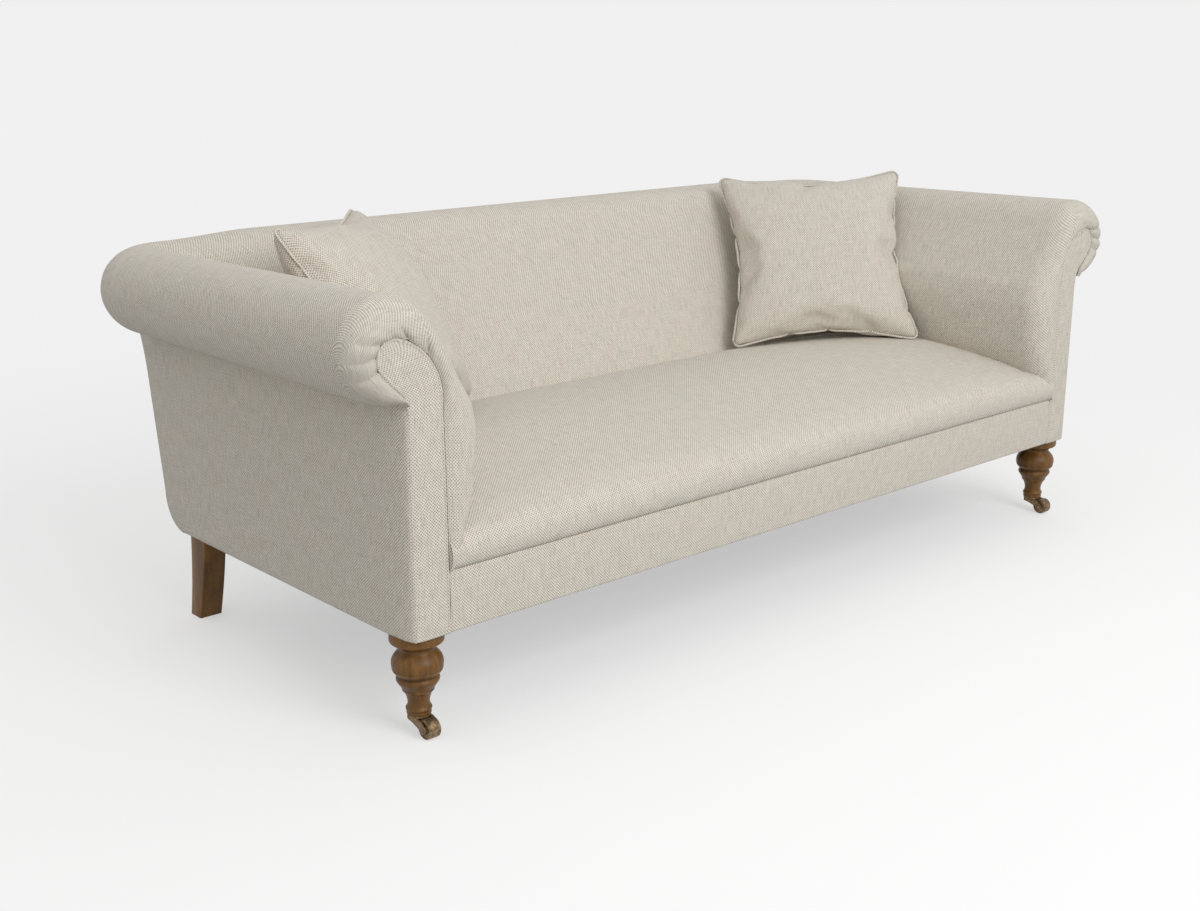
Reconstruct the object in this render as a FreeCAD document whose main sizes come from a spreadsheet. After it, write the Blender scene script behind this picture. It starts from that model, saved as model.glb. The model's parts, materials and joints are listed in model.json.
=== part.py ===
import FreeCAD, Part
import math
import os
import Sketcher
from FreeCAD import Placement, Rotation, Vector

# English roll arm sofa: a beech frame on turned front legs with castors and sabre rear legs,
# fully upholstered, with two loose piped cushions.
# Millimetres, +Z up, front towards -Y. The origin is at the middle of the footprint, on the floor.
# Depths named "from the face" run back from the plane of the arm facings and the front border.

doc = FreeCAD.newDocument("RollArmSofa")
sheet = doc.addObject("Spreadsheet::Sheet", "Sizes")

SIZES = {
    # upholstered outline
    "seat_width": 1750.0,
    "facing_width": 70.0,
    "outside_pad": 10.0,
    "facing_pad": 12.0,
    "base_height": 182.0,
    "border_height": 108.0,
    "front_swell": 8.0,
    # arms
    "arm_swell": 79.0,
    "arm_foot_swell": 47.0,
    "arm_lean_height": 518.0,
    "head_height": 684.0,
    "head_reach": 54.0,
    "head_neck_height": 590.0,
    "roll_underside": 574.0,
    "roll_overhang": 95.0,
    "roll_front_radius": 86.0,
    "roll_rear_radius": 80.5,
    "front_rounding": 50.0,
    "corner_radius": 105.0,
    # back
    "back_roll_depth": 872.0,
    "back_roll_height": 664.0,
    "back_roll_radius": 80.0,
    "back_foot_depth": 247.0,
    "back_foot_height": 362.0,
    "outside_back_foot": 64.0,
    "outside_back_top": 20.0,
    "outside_back_tuck": 60.0,
    # seat
    "seat_crown": 410.0,
    "seat_side_drop": 13.0,
    "seat_front_rise": 64.0,
    "crown_depth": 310.0,
    "webbing_thickness": 2.0,
    "webbing_width": 50.0,
    # beech frame
    "board_thickness": 24.0,
    "post_thickness": 32.0,
    "rail_height": 108.0,
    "rear_rail_thickness": 32.0,
    "block_width": 77.0,
    "block_depth": 64.0,
    "tack_rail_height": 40.0,
    "tack_rail_rise": 40.0,
    "tack_rail_thickness": 24.0,
    "top_rail_width": 70.0,
    "top_rail_thickness": 25.0,
    "arm_top_rail_height": 630.0,
    "back_top_rail_height": 640.0,
    "post_foot_depth": 112.0,
    "post_head_depth": 84.0,
    "post_top": 690.0,
    "upright_width": 40.0,
    "upright_thickness": 30.0,
    "base_cloth_thickness": 1.5,
    # front legs and castors
    "leg_inset": 45.0,
    "leg_depth": 49.0,
    "leg_socket_depth": 30.0,
    "leg_bottom": 36.0,
    "leg_rim_radius": 46.0,
    "leg_neck_radius": 30.0,
    "leg_bulb_radius": 43.7,
    "leg_ring_radius": 36.6,
    "leg_waist_radius": 18.7,
    "leg_collar_radius": 21.0,
    "castor_plate_radius": 20.0,
    "castor_plate_thickness": 3.0,
    "pintle_radius": 4.0,
    "wheel_radius": 17.0,
    "wheel_width": 24.0,
    "castor_trail": 29.0,
    "horn_thickness": 3.6,
    "horn_crown": 7.3,
    "axle_radius": 3.0,
    "running_clearance": 0.06,
    "side_clearance": 0.4,
    # rear legs
    "rear_leg_width": 47.0,
    "rear_leg_foot": 40.0,
    "rear_leg_head": 59.0,
    "rear_leg_depth": 55.0,
    "rear_leg_kick": 23.0,
    "rear_leg_sweep": 4.0,
    "bolt_radius": 5.0,
    "bolt_rise": 60.0,
    "bolt_drop": 50.0,
    # loose cushions
    "cushion_side": 462.0,
    "cushion_thickness": 144.0,
    "cushion_draw": 20.0,
    "cushion_edge": 9.0,
    "cushion_yaw": 40.8,
    "cushion_lean": 32.5,
    "cushion_tip": 2.5,
    "cushion_from_side": 216.0,
    "cushion_from_back": 71.0,
    "cushion_rise": 189.6,
    "piping_radius": 3.0,
    "soft_clearance": 0.3,
}

for row, (alias, number) in enumerate(SIZES.items(), start=1):
    sheet.set("A%d" % row, alias)
    sheet.set("B%d" % row, str(number))
    sheet.setAlias("B%d" % row, alias)
doc.recompute()


class Size:
    """A length with its number and the sheet expression that gives it."""

    def __init__(self, number, text):
        self.number = number
        self.text = text

    def _with(self, other, sign, order):
        if not isinstance(other, Size):
            other = Size(float(other), repr(float(other)))
        first, second = (self, other) if order else (other, self)
        numbers = {
            "+": first.number + second.number,
            "-": first.number - second.number,
            "*": first.number * second.number,
        }
        return Size(numbers[sign], "(%s %s %s)" % (first.text, sign, second.text))

    def __add__(self, other):
        return self._with(other, "+", True)

    def __radd__(self, other):
        return self._with(other, "+", False)

    def __sub__(self, other):
        return self._with(other, "-", True)

    def __rsub__(self, other):
        return self._with(other, "-", False)

    def __mul__(self, other):
        return self._with(other, "*", True)

    def __rmul__(self, other):
        return self._with(other, "*", False)

    def __neg__(self):
        return self * -1.0

    def __float__(self):
        return self.number


def size(alias):
    """The sheet's value under this alias."""
    return Size(float(sheet.get(alias)), "Sizes.%s" % alias)


# Places that several pieces share, all worked out from the sheet
seat_half = size("seat_width") * 0.5
arm_outer = seat_half + size("facing_width")
outer_side = arm_outer + size("outside_pad")
roll_side = outer_side + size("roll_overhang")
floor_gap = size("base_height")
seam_height = floor_gap + size("border_height")
rail_top = floor_gap + size("rail_height")
rear_reach = size("back_roll_depth") + size("back_roll_radius")
back_foot = size("back_roll_depth") - size("back_foot_depth")
outside_top = size("back_roll_depth") + size("outside_back_top")
outside_foot = outside_top - size("outside_back_foot")
post_head = outside_top - size("post_head_depth")
post_foot = outside_foot - size("post_foot_depth")
face_y = (rear_reach - size("front_swell")) * -0.5
block_inner = arm_outer - size("block_width")
post_inner = arm_outer - size("post_thickness")
board_back = size("facing_pad") + size("board_thickness")
block_back = board_back + size("block_depth")
strap_top = rail_top + size("webbing_thickness") * 2.0
corner_y = size("back_roll_depth") - size("corner_radius")
corner_x = roll_side - size("roll_rear_radius") - size("corner_radius")
leg_x = outer_side - size("leg_inset")

pieces = []


def keep(piece, label):
    """Names a finished sub-part and puts it on the list that is written out."""
    piece.Label = label
    pieces.append(piece)
    return piece


def bind(piece, prop, length):
    """Binds one property to its sheet expression."""
    piece.setExpression(prop, length.text)


def place(piece, x, y, z):
    """Puts a piece at a place worked out from the sheet."""
    for axis, length in zip("xyz", (x, y, z)):
        if not isinstance(length, Size):
            length = Size(float(length), repr(float(length)))
        bind(piece, "Placement.Base.%s" % axis, length)


def block(label, low, high):
    """A squared piece of timber or strap between two corners, with depths from the face."""
    piece = doc.addObject("Part::Box", label)
    for prop, first, last in zip(("Length", "Width", "Height"), low, high):
        bind(piece, prop, last - first)
    place(piece, low[0], face_y + low[1], low[2])
    return keep(piece, label)


def sided(side, near, far):
    """The low and high X of a piece between two distances from the middle, on one side."""
    if side > 0:
        return near, far
    return -far, -near


def body_plane(body, role):
    """The origin plane of a body by its role."""
    for feature in body.Origin.OriginFeatures:
        if feature.Role == role:
            return feature
    raise ValueError(role)


def outline(body, role, path, name):
    """A closed sketch with every corner held by the sheet.

    A step of the path is (x, y) for a straight run to that corner, or (x, y, via_x, via_y) for an arc.
    """
    sketch = body.newObject("Sketcher::SketchObject", name)
    sketch.AttachmentSupport = [(body_plane(body, role), "")]
    sketch.MapMode = "FlatFace"
    held = []

    def hold(geometry, point, step):
        for kind, length in zip(("DistanceX", "DistanceY"), step):
            if not isinstance(length, Size):
                length = Size(float(length), repr(float(length)))
            index = sketch.addConstraint(Sketcher.Constraint(kind, -1, 1, geometry, point, length.number))
            held.append((index, length.text))

    ends = []
    for here, step in enumerate(path):
        before = path[here - 1]
        start = Vector(float(before[0]), float(before[1]), 0)
        end = Vector(float(step[0]), float(step[1]), 0)
        if len(step) == 2:
            line = sketch.addGeometry(Part.LineSegment(start, end))
            ends.append((line, 1, 2))
            continue
        via = Vector(float(step[2]), float(step[3]), 0)
        curve = Part.Arc(start, via, end)
        arc = sketch.addGeometry(curve)
        first = sketch.getPoint(arc, 1)
        ends.append((arc, 1, 2) if first.distanceToPoint(start) < 1e-6 else (arc, 2, 1))
        mark = sketch.addGeometry(Part.Point(via), True)
        hold(mark, 1, (step[2], step[3]))
        sketch.addConstraint(Sketcher.Constraint("PointOnObject", mark, 1, arc))
    for here, (geometry, first, last) in enumerate(ends):
        following = ends[(here + 1) % len(ends)]
        sketch.addConstraint(Sketcher.Constraint("Coincident", geometry, last, following[0], following[1]))
        hold(geometry, last, path[here])
    for index, text in held:
        sketch.setExpression("Constraints[%d]" % index, text)
    return sketch


def padded_body(label, role, path, thickness, reverse=False):
    """A body made by one pad of an outline."""
    body = doc.addObject("PartDesign::Body", label)
    sketch = outline(body, role, path, label + "_outline")
    pad = body.newObject("PartDesign::Pad", label + "_pad")
    pad.Profile = sketch
    bind(pad, "Length", thickness)
    pad.Reversed = reverse
    return keep(body, label)


def turned_body(label, path, hole_path=None):
    """A body turned about the Z axis from an outline of radii and heights."""
    body = doc.addObject("PartDesign::Body", label)
    sketch = outline(body, "XZ_Plane", path, label + "_outline")
    turning = body.newObject("PartDesign::Revolution", label + "_turning")
    turning.Profile = sketch
    turning.ReferenceAxis = (sketch, ["V_Axis"])
    turning.Angle = 360
    if hole_path:
        doc.recompute()
        bore = outline(body, "XZ_Plane", hole_path, label + "_bore_outline")
        groove = body.newObject("PartDesign::Groove", label + "_bore")
        groove.Profile = bore
        groove.ReferenceAxis = (bore, ["V_Axis"])
        groove.Angle = 360
    return keep(body, label)


def formed(label, shape):
    """A sub-part whose shape is worked out with Part's own functions, already at its place."""
    piece = doc.addObject("Part::Feature", label)
    piece.Shape = shape
    return keep(piece, label)


def at_face(shape):
    """Moves a shape modelled with depths from the face to the sofa's own frame."""
    shape.translate(Vector(0, float(face_y), 0))
    return shape


def wire_of(path, to_point):
    """A closed wire along a path of corners and arcs, with each corner mapped to space."""
    edges = []
    for here, step in enumerate(path):
        start = to_point(path[here - 1][0], path[here - 1][1])
        end = to_point(step[0], step[1])
        if len(step) == 2:
            edges.append(Part.makeLine(start, end))
        else:
            edges.append(Part.Arc(start, to_point(step[2], step[3]), end).toShape())
    return Part.Wire(edges)


def plain(path):
    """The same path with plain numbers."""
    return [tuple(float(length) for length in step) for step in path]


def mirrored(shape):
    """The same shape on the other side of the sofa."""
    return shape.mirror(Vector(0, 0, 0), Vector(1, 0, 0))


# The two sides as seen by someone who looks at the front
SIDES = (("left", -1), ("right", 1))


# Timber frame, all squared pieces

board_inner = seat_half + 4.0
block("front_rail", (-board_inner, size("facing_pad"), floor_gap), (board_inner, board_back, rail_top))
rear_rail_back = outside_foot - size("outside_pad") - size("outside_back_tuck")
rear_rail_front = rear_rail_back - size("rear_rail_thickness")
block("rear_rail", (-block_inner, rear_rail_front, floor_gap), (block_inner, rear_rail_back, rail_top))
tack_low = rail_top + size("tack_rail_rise")
tack_high = tack_low + size("tack_rail_height")
tack_back = post_foot + size("tack_rail_thickness")
block("back_tack_rail", (-post_inner, post_foot, tack_low), (post_inner, tack_back, tack_high))
top_low = size("back_top_rail_height")
top_high = top_low + size("top_rail_thickness")
head_foot = top_low - 40.0
top_back = outside_top - size("outside_pad") - 4.0
block("back_top_rail", (-post_inner, post_head, top_low), (post_inner, top_back, top_high))
arm_rail_low = size("arm_top_rail_height")
arm_rail_high = arm_rail_low + size("top_rail_thickness")
arm_rail_inner = arm_outer - 15.0
arm_rail_outer = arm_rail_inner + size("top_rail_width")
for name, side in SIDES:
    near, far = sided(side, post_inner, arm_outer)
    block("side_rail_" + name, (near, block_back, floor_gap), (far, post_foot, rail_top))
    near, far = sided(side, arm_outer - size("tack_rail_thickness"), arm_outer)
    block("arm_tack_rail_" + name, (near, board_back, tack_low), (far, post_foot, tack_high))
    near, far = sided(side, arm_rail_inner, arm_rail_outer)
    block("arm_top_rail_" + name, (near, board_back, arm_rail_low), (far, post_head, arm_rail_high))


def back_line(inset):
    """The outside back's side view from foot to top: corner points with arcs, set in by the padding."""
    foot = outside_foot - inset
    top = outside_top - inset
    low = floor_gap + inset
    waist = foot + 34.0
    rise = head_foot - floor_gap
    return [
        (foot - size("outside_back_tuck"), low),
        (foot, low + 73.0, foot - 22.0, low + 18.0),
        (waist, low + rise * (288.0 / 418.0), foot + 14.0, low + rise * (168.0 / 418.0)),
        (top, low + rise, waist + 12.0, low + rise * (348.0 / 418.0)),
    ]


def post_path():
    """A rear post seen from the side."""
    rear = back_line(size("outside_pad"))
    return [
        (post_foot, floor_gap),
        (rear[0][0], floor_gap),
        (rear[0][0], rear[0][1]),
        rear[1],
        rear[2],
        rear[3],
        (top_back, size("post_top")),
        (post_head, size("post_top")),
        (post_head, head_foot),
        (post_foot, tack_high),
    ]


def scroll_path(side, inset, low):
    """The front of an arm: upright, head that scrolls outwards, and the neck beneath it."""
    inner = seat_half + inset
    head = size("head_height") - inset
    neck = size("head_neck_height")
    reach = arm_outer + size("head_reach") - inset
    return [
        (arm_outer * side, low),
        (arm_outer * side, neck - 25.0),
        ((arm_outer + 8.0) * side, neck),
        ((reach - 9.0) * side, neck + 38.0),
        ((reach - 35.0) * side, head, (reach - 0.5) * side, head - 26.0),
        ((inner + 3.0) * side, neck - 30.0, (inner + 30.0) * side, head - 35.0),
        (inner * side, low),
    ]


def along_depth(body, thickness, depth):
    """Puts a pad drawn on the XZ plane between two depths from the face."""
    place(body, 0.0, face_y + depth, 0.0)


for name, side in SIDES:
    board = padded_body(
        "scroll_board_" + name, "XZ_Plane", scroll_path(side, 4.0, floor_gap), size("board_thickness"), True
    )
    along_depth(board, size("board_thickness"), size("facing_pad"))
    post = padded_body("back_post_" + name, "YZ_Plane", post_path(), size("post_thickness"))
    place(post, post_inner if side > 0 else -arm_outer, face_y, 0.0)

# Leg blocks, bored for the bolts that hold the legs

bolt_hole = size("bolt_radius") + 0.1
rear_bolt_x = block_inner + 37.0
rear_block_front = post_foot - 26.0
leg_rear = outside_foot - size("rear_leg_depth")
rear_bolt_depth = leg_rear - 38.0
bolt_top = floor_gap + size("bolt_rise")


def bored_block(label, low, high, x, depth):
    """A glue block with one upright bolt hole."""
    outer = doc.addObject("Part::Box", label + "_timber")
    for prop, first, last in zip(("Length", "Width", "Height"), low, high):
        bind(outer, prop, last - first)
    place(outer, low[0], face_y + low[1], low[2])
    hole = doc.addObject("Part::Cylinder", label + "_hole")
    bind(hole, "Radius", bolt_hole)
    bind(hole, "Height", size("bolt_rise") + 1.0)
    place(hole, x, face_y + depth, floor_gap)
    cut = doc.addObject("Part::Cut", label)
    cut.Base = outer
    cut.Tool = hole
    return keep(cut, label)


for name, side in SIDES:
    near, far = sided(side, block_inner, arm_outer)
    bored_block(
        "front_leg_block_" + name,
        (near, board_back, floor_gap),
        (far, block_back, rail_top),
        leg_x * side,
        size("leg_depth"),
    )
    near, far = sided(side, block_inner, post_inner)
    bored_block(
        "rear_leg_block_" + name,
        (near, rear_block_front, floor_gap),
        (far, rear_rail_back, rail_top),
        rear_bolt_x * side,
        rear_bolt_depth,
    )

STRAP_COUNT = 12
CROSS_COUNT = 4
strap_step = block_inner * (2.0 / (STRAP_COUNT + 1.0))
for name, side in SIDES:
    lean = [
        (rear_rail_back - size("upright_thickness"), rail_top),
        (rear_rail_back, rail_top),
        (top_back - 10.0, top_low),
        (top_back - 10.0 - size("upright_thickness"), top_low),
    ]
    upright = padded_body("back_upright_" + name, "YZ_Plane", lean, size("upright_width"))
    place(upright, strap_step * 2.0 * side - size("upright_width") * 0.5, face_y, 0.0)

# Turned front legs


def up(share):
    """A height on the front leg, as a share of its own height above its foot."""
    return size("leg_bottom") + (floor_gap - size("leg_bottom")) * share


def leg_path():
    """Half the turned leg's outline: collar, waist, bead, ring, bulb with a scored line, neck and rim."""
    collar = size("leg_collar_radius")
    waist = size("leg_waist_radius")
    ring = size("leg_ring_radius")
    bulb = size("leg_bulb_radius")
    neck = size("leg_neck_radius")
    rim = size("leg_rim_radius")
    return [
        (0.0, up(0.0)),
        (collar - 1.5, up(0.0)),
        (collar, up(0.014)),
        (collar, up(0.055)),
        (collar + 1.2, up(0.067)),
        (collar - 1.4, up(0.090)),
        (waist + 0.4, up(0.120)),
        (waist, up(0.150)),
        (ring - 12.0, up(0.270), waist + 1.2, up(0.215)),
        (ring - 9.5, up(0.292)),
        (ring - 9.5, up(0.305)),
        (ring, up(0.420), ring - 2.6, up(0.355)),
        (bulb - 9.5, up(0.458)),
        (bulb - 1.2, up(0.562), bulb - 4.2, up(0.512)),
        (bulb - 2.3, up(0.570)),
        (bulb - 0.8, up(0.578)),
        (neck, up(0.788), bulb - 1.6, up(0.695)),
        (neck, up(0.806)),
        (rim - 2.0, up(0.880), neck + 4.0, up(0.858)),
        (rim, up(0.900)),
        (rim, up(0.940)),
        (rim - 4.0, up(1.0)),
        (0.0, up(1.0)),
    ]


socket_radius = size("pintle_radius") + 0.1
leg_bore_path = [
    (0.0, up(0.0) - 1.0),
    (socket_radius, up(0.0) - 1.0),
    (socket_radius, up(0.0) + size("leg_socket_depth")),
    (0.0, up(0.0) + size("leg_socket_depth")),
]
bolt_bore_path = [
    (0.0, floor_gap - size("bolt_drop")),
    (bolt_hole, floor_gap - size("bolt_drop")),
    (bolt_hole, floor_gap + 1.0),
    (0.0, floor_gap + 1.0),
]


def turned_with_bores(label, path, bores):
    """A turned body with bores on its axis."""
    body = turned_body(label, path)
    for count, bore in enumerate(bores):
        doc.recompute()
        sketch = outline(body, "XZ_Plane", bore, "%s_bore_outline_%d" % (label, count))
        groove = body.newObject("PartDesign::Groove", "%s_bore_%d" % (label, count))
        groove.Profile = sketch
        groove.ReferenceAxis = (sketch, ["V_Axis"])
        groove.Angle = 360
    return body


for name, side in SIDES:
    leg = turned_with_bores("front_leg_" + name, leg_path(), (leg_bore_path, bolt_bore_path))
    place(leg, leg_x * side, face_y + size("leg_depth"), 0.0)

# Castors: a plate and pintle fixed in the leg, a horn that swivels on it, and a wheel on its axle

plate_low = size("leg_bottom") - size("castor_plate_thickness")
horn_top = plate_low - 0.3
horn_low = horn_top - size("horn_crown")
pintle_head = size("pintle_radius") + 2.5
plate_path = [
    (0.0, size("leg_bottom") + size("leg_socket_depth") - 1.0),
    (size("pintle_radius"), size("leg_bottom") + size("leg_socket_depth") - 1.0),
    (size("pintle_radius"), size("leg_bottom")),
    (size("castor_plate_radius"), size("leg_bottom")),
    (size("castor_plate_radius"), plate_low),
    (size("pintle_radius"), plate_low),
    (size("pintle_radius"), horn_low - 0.2),
    (pintle_head, horn_low - 0.2),
    (pintle_head - 1.0, horn_low - 1.9),
    (0.0, horn_low - 1.9),
]
trail = size("castor_trail")
wheel_r = size("wheel_radius")
eye = size("axle_radius") + 4.5
horn_path = [
    (12.0, horn_top),
    (-12.0, horn_top),
    (-trail - eye, wheel_r, -trail + 2.7, horn_top - 4.6),
    (-trail + eye, wheel_r - 1.5, -trail, wheel_r - eye),
    (12.0, horn_low, -10.0, wheel_r + 3.0),
]
horn_slot = [
    (-trail - 30.0, -5.0),
    (13.0, -5.0),
    (13.0, horn_low),
    (-trail + wheel_r - 0.1, horn_low),
    (-trail + wheel_r - 0.1, horn_top + 5.0),
    (-trail - 30.0, horn_top + 5.0),
]
slot_width = size("wheel_width") + size("side_clearance") * 2.0
horn_width = slot_width + size("horn_thickness") * 2.0


def round_hole(body, role, x, y, radius, name):
    """A sketch with one circle held by the sheet."""
    sketch = body.newObject("Sketcher::SketchObject", name)
    sketch.AttachmentSupport = [(body_plane(body, role), "")]
    sketch.MapMode = "FlatFace"
    sketch.addGeometry(Part.Circle(Vector(float(x), float(y), 0), Vector(0, 0, 1), float(radius)))
    for kind, length in (("DistanceX", x), ("DistanceY", y)):
        index = sketch.addConstraint(Sketcher.Constraint(kind, -1, 1, 0, 3, float(length)))
        if isinstance(length, Size):
            sketch.setExpression("Constraints[%d]" % index, length.text)
    index = sketch.addConstraint(Sketcher.Constraint("Radius", 0, float(radius)))
    sketch.setExpression("Constraints[%d]" % index, radius.text)
    return sketch


def pocket(body, sketch, length, name):
    """A cut through the body, the same depth each side of the sketch."""
    cut = body.newObject("PartDesign::Pocket", name)
    cut.Profile = sketch
    cut.Midplane = True
    if isinstance(length, Size):
        bind(cut, "Length", length)
    else:
        cut.Length = length
    return cut


def castor_horn(label):
    """The forked horn: one outline across its width, slotted for the wheel and bored for both pins."""
    body = doc.addObject("PartDesign::Body", label)
    sketch = outline(body, "YZ_Plane", horn_path, label + "_outline")
    pad = body.newObject("PartDesign::Pad", label + "_pad")
    pad.Profile = sketch
    pad.Midplane = True
    bind(pad, "Length", horn_width)
    doc.recompute()
    pocket(body, outline(body, "YZ_Plane", horn_slot, label + "_slot_outline"), slot_width, label + "_slot")
    doc.recompute()
    axle_hole = size("axle_radius") + size("running_clearance")
    eyes = round_hole(body, "YZ_Plane", -trail, wheel_r, axle_hole, label + "_eye_outline")
    pocket(body, eyes, horn_width + 2.0, label + "_eyes")
    doc.recompute()
    pintle_hole = size("pintle_radius") + size("running_clearance")
    crown = round_hole(body, "XY_Plane", 0.0, 0.0, pintle_hole, label + "_crown_outline")
    pocket(body, crown, horn_top * 2.0 + 2.0, label + "_crown_bore")
    return keep(body, label)


half_wheel = size("wheel_width") * 0.5
bore = size("axle_radius") + size("running_clearance")
wheel_path = [
    (bore, -half_wheel),
    (bore + 4.0, -half_wheel),
    (bore + 4.0, -half_wheel + 1.5),
    (wheel_r - 3.0, -half_wheel + 1.5),
    (wheel_r - 2.5, -half_wheel),
    (wheel_r - 1.5, -half_wheel),
    (wheel_r, -half_wheel + 1.5),
    (wheel_r, half_wheel - 1.5),
    (wheel_r - 1.5, half_wheel),
    (wheel_r - 2.5, half_wheel),
    (wheel_r - 3.0, half_wheel - 1.5),
    (bore + 4.0, half_wheel - 1.5),
    (bore + 4.0, half_wheel),
    (bore, half_wheel),
]
pin = size("axle_radius")
pin_end = horn_width * 0.5
axle_path = [
    (0.0, -pin_end - 1.6),
    (pin + 0.6, -pin_end - 1.6),
    (pin + 1.4, -pin_end - 0.8),
    (pin + 1.4, -pin_end),
    (pin, -pin_end),
    (pin, pin_end),
    (pin + 1.4, pin_end),
    (pin + 1.4, pin_end + 0.8),
    (pin + 0.6, pin_end + 1.6),
    (0.0, pin_end + 1.6),
]
across = Rotation(Vector(0, 1, 0), 90)
for name, side in SIDES:
    x = leg_x * side
    y = face_y + size("leg_depth")
    place(turned_body("castor_plate_" + name, plate_path), x, y, 0.0)
    place(castor_horn("castor_horn_" + name), x, y, 0.0)
    for label, path in (("castor_wheel_", wheel_path), ("castor_axle_", axle_path)):
        piece = turned_body(label + name, path)
        piece.Placement = Placement(Vector(0, 0, 0), across)
        place(piece, x, y - trail, wheel_r)

# Sabre rear legs, bored for their bolts

leg_front = leg_rear - size("rear_leg_head")
foot_rear = leg_rear + size("rear_leg_kick")
foot_front = foot_rear - size("rear_leg_foot")
sweep = size("rear_leg_sweep")
half_gap = floor_gap * 0.5
rear_leg_path = [
    (foot_front, 0.0),
    (foot_rear, 0.0),
    (leg_rear, floor_gap, (leg_rear + foot_rear) * 0.5 - sweep, half_gap),
    (leg_front, floor_gap),
    (foot_front, 0.0, (leg_front + foot_front) * 0.5 - sweep, half_gap),
]
rear_leg_inner = rear_bolt_x - 16.0
for name, side in SIDES:
    label = "rear_leg_" + name
    body = doc.addObject("PartDesign::Body", label)
    sketch = outline(body, "YZ_Plane", rear_leg_path[1:], label + "_outline")
    pad = body.newObject("PartDesign::Pad", label + "_pad")
    pad.Profile = sketch
    bind(pad, "Length", size("rear_leg_width"))
    doc.recompute()
    hole_x = 16.0 if side > 0 else size("rear_leg_width") - 16.0
    hole = round_hole(body, "XY_Plane", hole_x, rear_bolt_depth, bolt_hole, label + "_bolt_outline")
    bored = body.newObject("PartDesign::Pocket", label + "_bolt_hole")
    bored.Profile = hole
    bored.Type = 1
    bored.Reversed = True
    near, far = sided(side, rear_leg_inner, rear_leg_inner + size("rear_leg_width"))
    place(keep(body, label), near, face_y, 0.0)

bolts = []
for side in (-1, 1):
    for x, depth in ((leg_x, size("leg_depth")), (rear_bolt_x, rear_bolt_depth)):
        bolt = Part.makeCylinder(
            size("bolt_radius").number,
            float(size("bolt_rise") + size("bolt_drop")) - 1.0,
            Vector(float(x) * side, float(depth), float(floor_gap - size("bolt_drop")) + 0.5),
        )
        bolts.append(bolt)
formed("leg_bolts", at_face(Part.makeCompound(bolts)))

# Webbing under the seat, hessian behind the back and the cloth under the base


def straps(count, low, high, level, along_x):
    """Evenly spaced straps between two corners in plan."""
    width = float(size("webbing_width"))
    thickness = float(size("webbing_thickness"))
    found = []
    for number in range(count):
        share = (number + 1.0) / (count + 1.0)
        if along_x:
            corner = Vector(low[0], low[1] + (high[1] - low[1]) * share - width / 2, level)
            found.append(Part.makeBox(high[0] - low[0], width, thickness, corner))
        else:
            corner = Vector(low[0] + (high[0] - low[0]) * share - width / 2, low[1], level)
            found.append(Part.makeBox(width, high[1] - low[1], thickness, corner))
    return at_face(Part.makeCompound(found))


web_low = (-float(block_inner), float(size("facing_pad")) + 2.0)
web_high = (float(block_inner), float(rear_rail_back) - 2.0)
formed("seat_webbing_long", straps(STRAP_COUNT, web_low, web_high, float(rail_top), False))
cross_low = (-float(post_inner) - 20.0, float(board_back))
cross_high = (float(post_inner) + 20.0, float(rear_rail_front))
cross_level = float(rail_top) + float(size("webbing_thickness"))
formed("seat_webbing_cross", straps(CROSS_COUNT, cross_low, cross_high, cross_level, True))

hessian = size("webbing_thickness")
hessian_path = [
    (post_foot, tack_high),
    (post_foot + hessian, tack_high),
    (post_head + hessian, head_foot),
    (post_head + hessian, top_low),
    (post_head, top_low),
    (post_head, head_foot),
]
back_hessian = padded_body("back_hessian", "YZ_Plane", hessian_path, post_inner * 2.0)
place(back_hessian, -post_inner, face_y, 0.0)
cloth_x = block_inner - 6.0
block(
    "base_cloth",
    (-cloth_x, size("facing_pad") + 2.0, floor_gap - size("base_cloth_thickness")),
    (cloth_x, rear_rail_back - 2.0, floor_gap),
)

doc.recompute()


def placed(label):
    """A finished sub-part's shape, moved back to depths from the face."""
    for piece in pieces:
        if piece.Label == label:
            shape = piece.Shape.copy()
            shape.translate(Vector(0, -float(face_y), 0))
            return shape
    raise ValueError(label)


# Upholstery. Forms are worked out for the right side, with depths from the face.

pad_low = float(rail_top) + 6.0
mitre = float(corner_x - corner_y)


def tangent_point(point, centre, radius):
    """Where the line from a point touches the upper near side of a circle."""
    dx = centre[0] - point[0]
    dy = centre[1] - point[1]
    reach = math.hypot(dx, dy)
    angle = math.atan2(dx, dy) - math.asin(radius / reach)
    length = math.sqrt(reach * reach - radius * radius)
    return point[0] + length * math.sin(angle), point[1] + length * math.cos(angle)


def round_path(foot, bend, centre, radius, outside, inside, low):
    """A padded side with a roll on top: foot, bend, tangent run, roll, underside and inner edge."""
    touch = tangent_point(bend, centre, radius)
    run = math.hypot(touch[0] - bend[0], touch[1] - bend[1])
    along = ((touch[0] - bend[0]) / run, (touch[1] - bend[1]) / run)
    start_angle = math.atan2(touch[1] - centre[1], touch[0] - centre[0])
    middle = start_angle / 2
    drop = math.sqrt(radius * radius - (centre[0] - outside) ** 2)
    under = centre[1] - drop
    under_angle = math.atan2(-drop, outside - centre[0]) / 2
    return [
        (foot, low),
        (bend[0], bend[1] - 45.0),
        (bend[0] + along[0] * 50.0, bend[1] + along[1] * 50.0, bend[0] + 6.0, bend[1] + 4.0),
        touch,
        (
            centre[0] + radius,
            centre[1],
            centre[0] + radius * math.cos(middle),
            centre[1] + radius * math.sin(middle),
        ),
        (
            outside,
            under,
            centre[0] + radius * math.cos(under_angle),
            centre[1] + radius * math.sin(under_angle),
        ),
        (inside, under),
        (inside, low),
    ]


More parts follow.
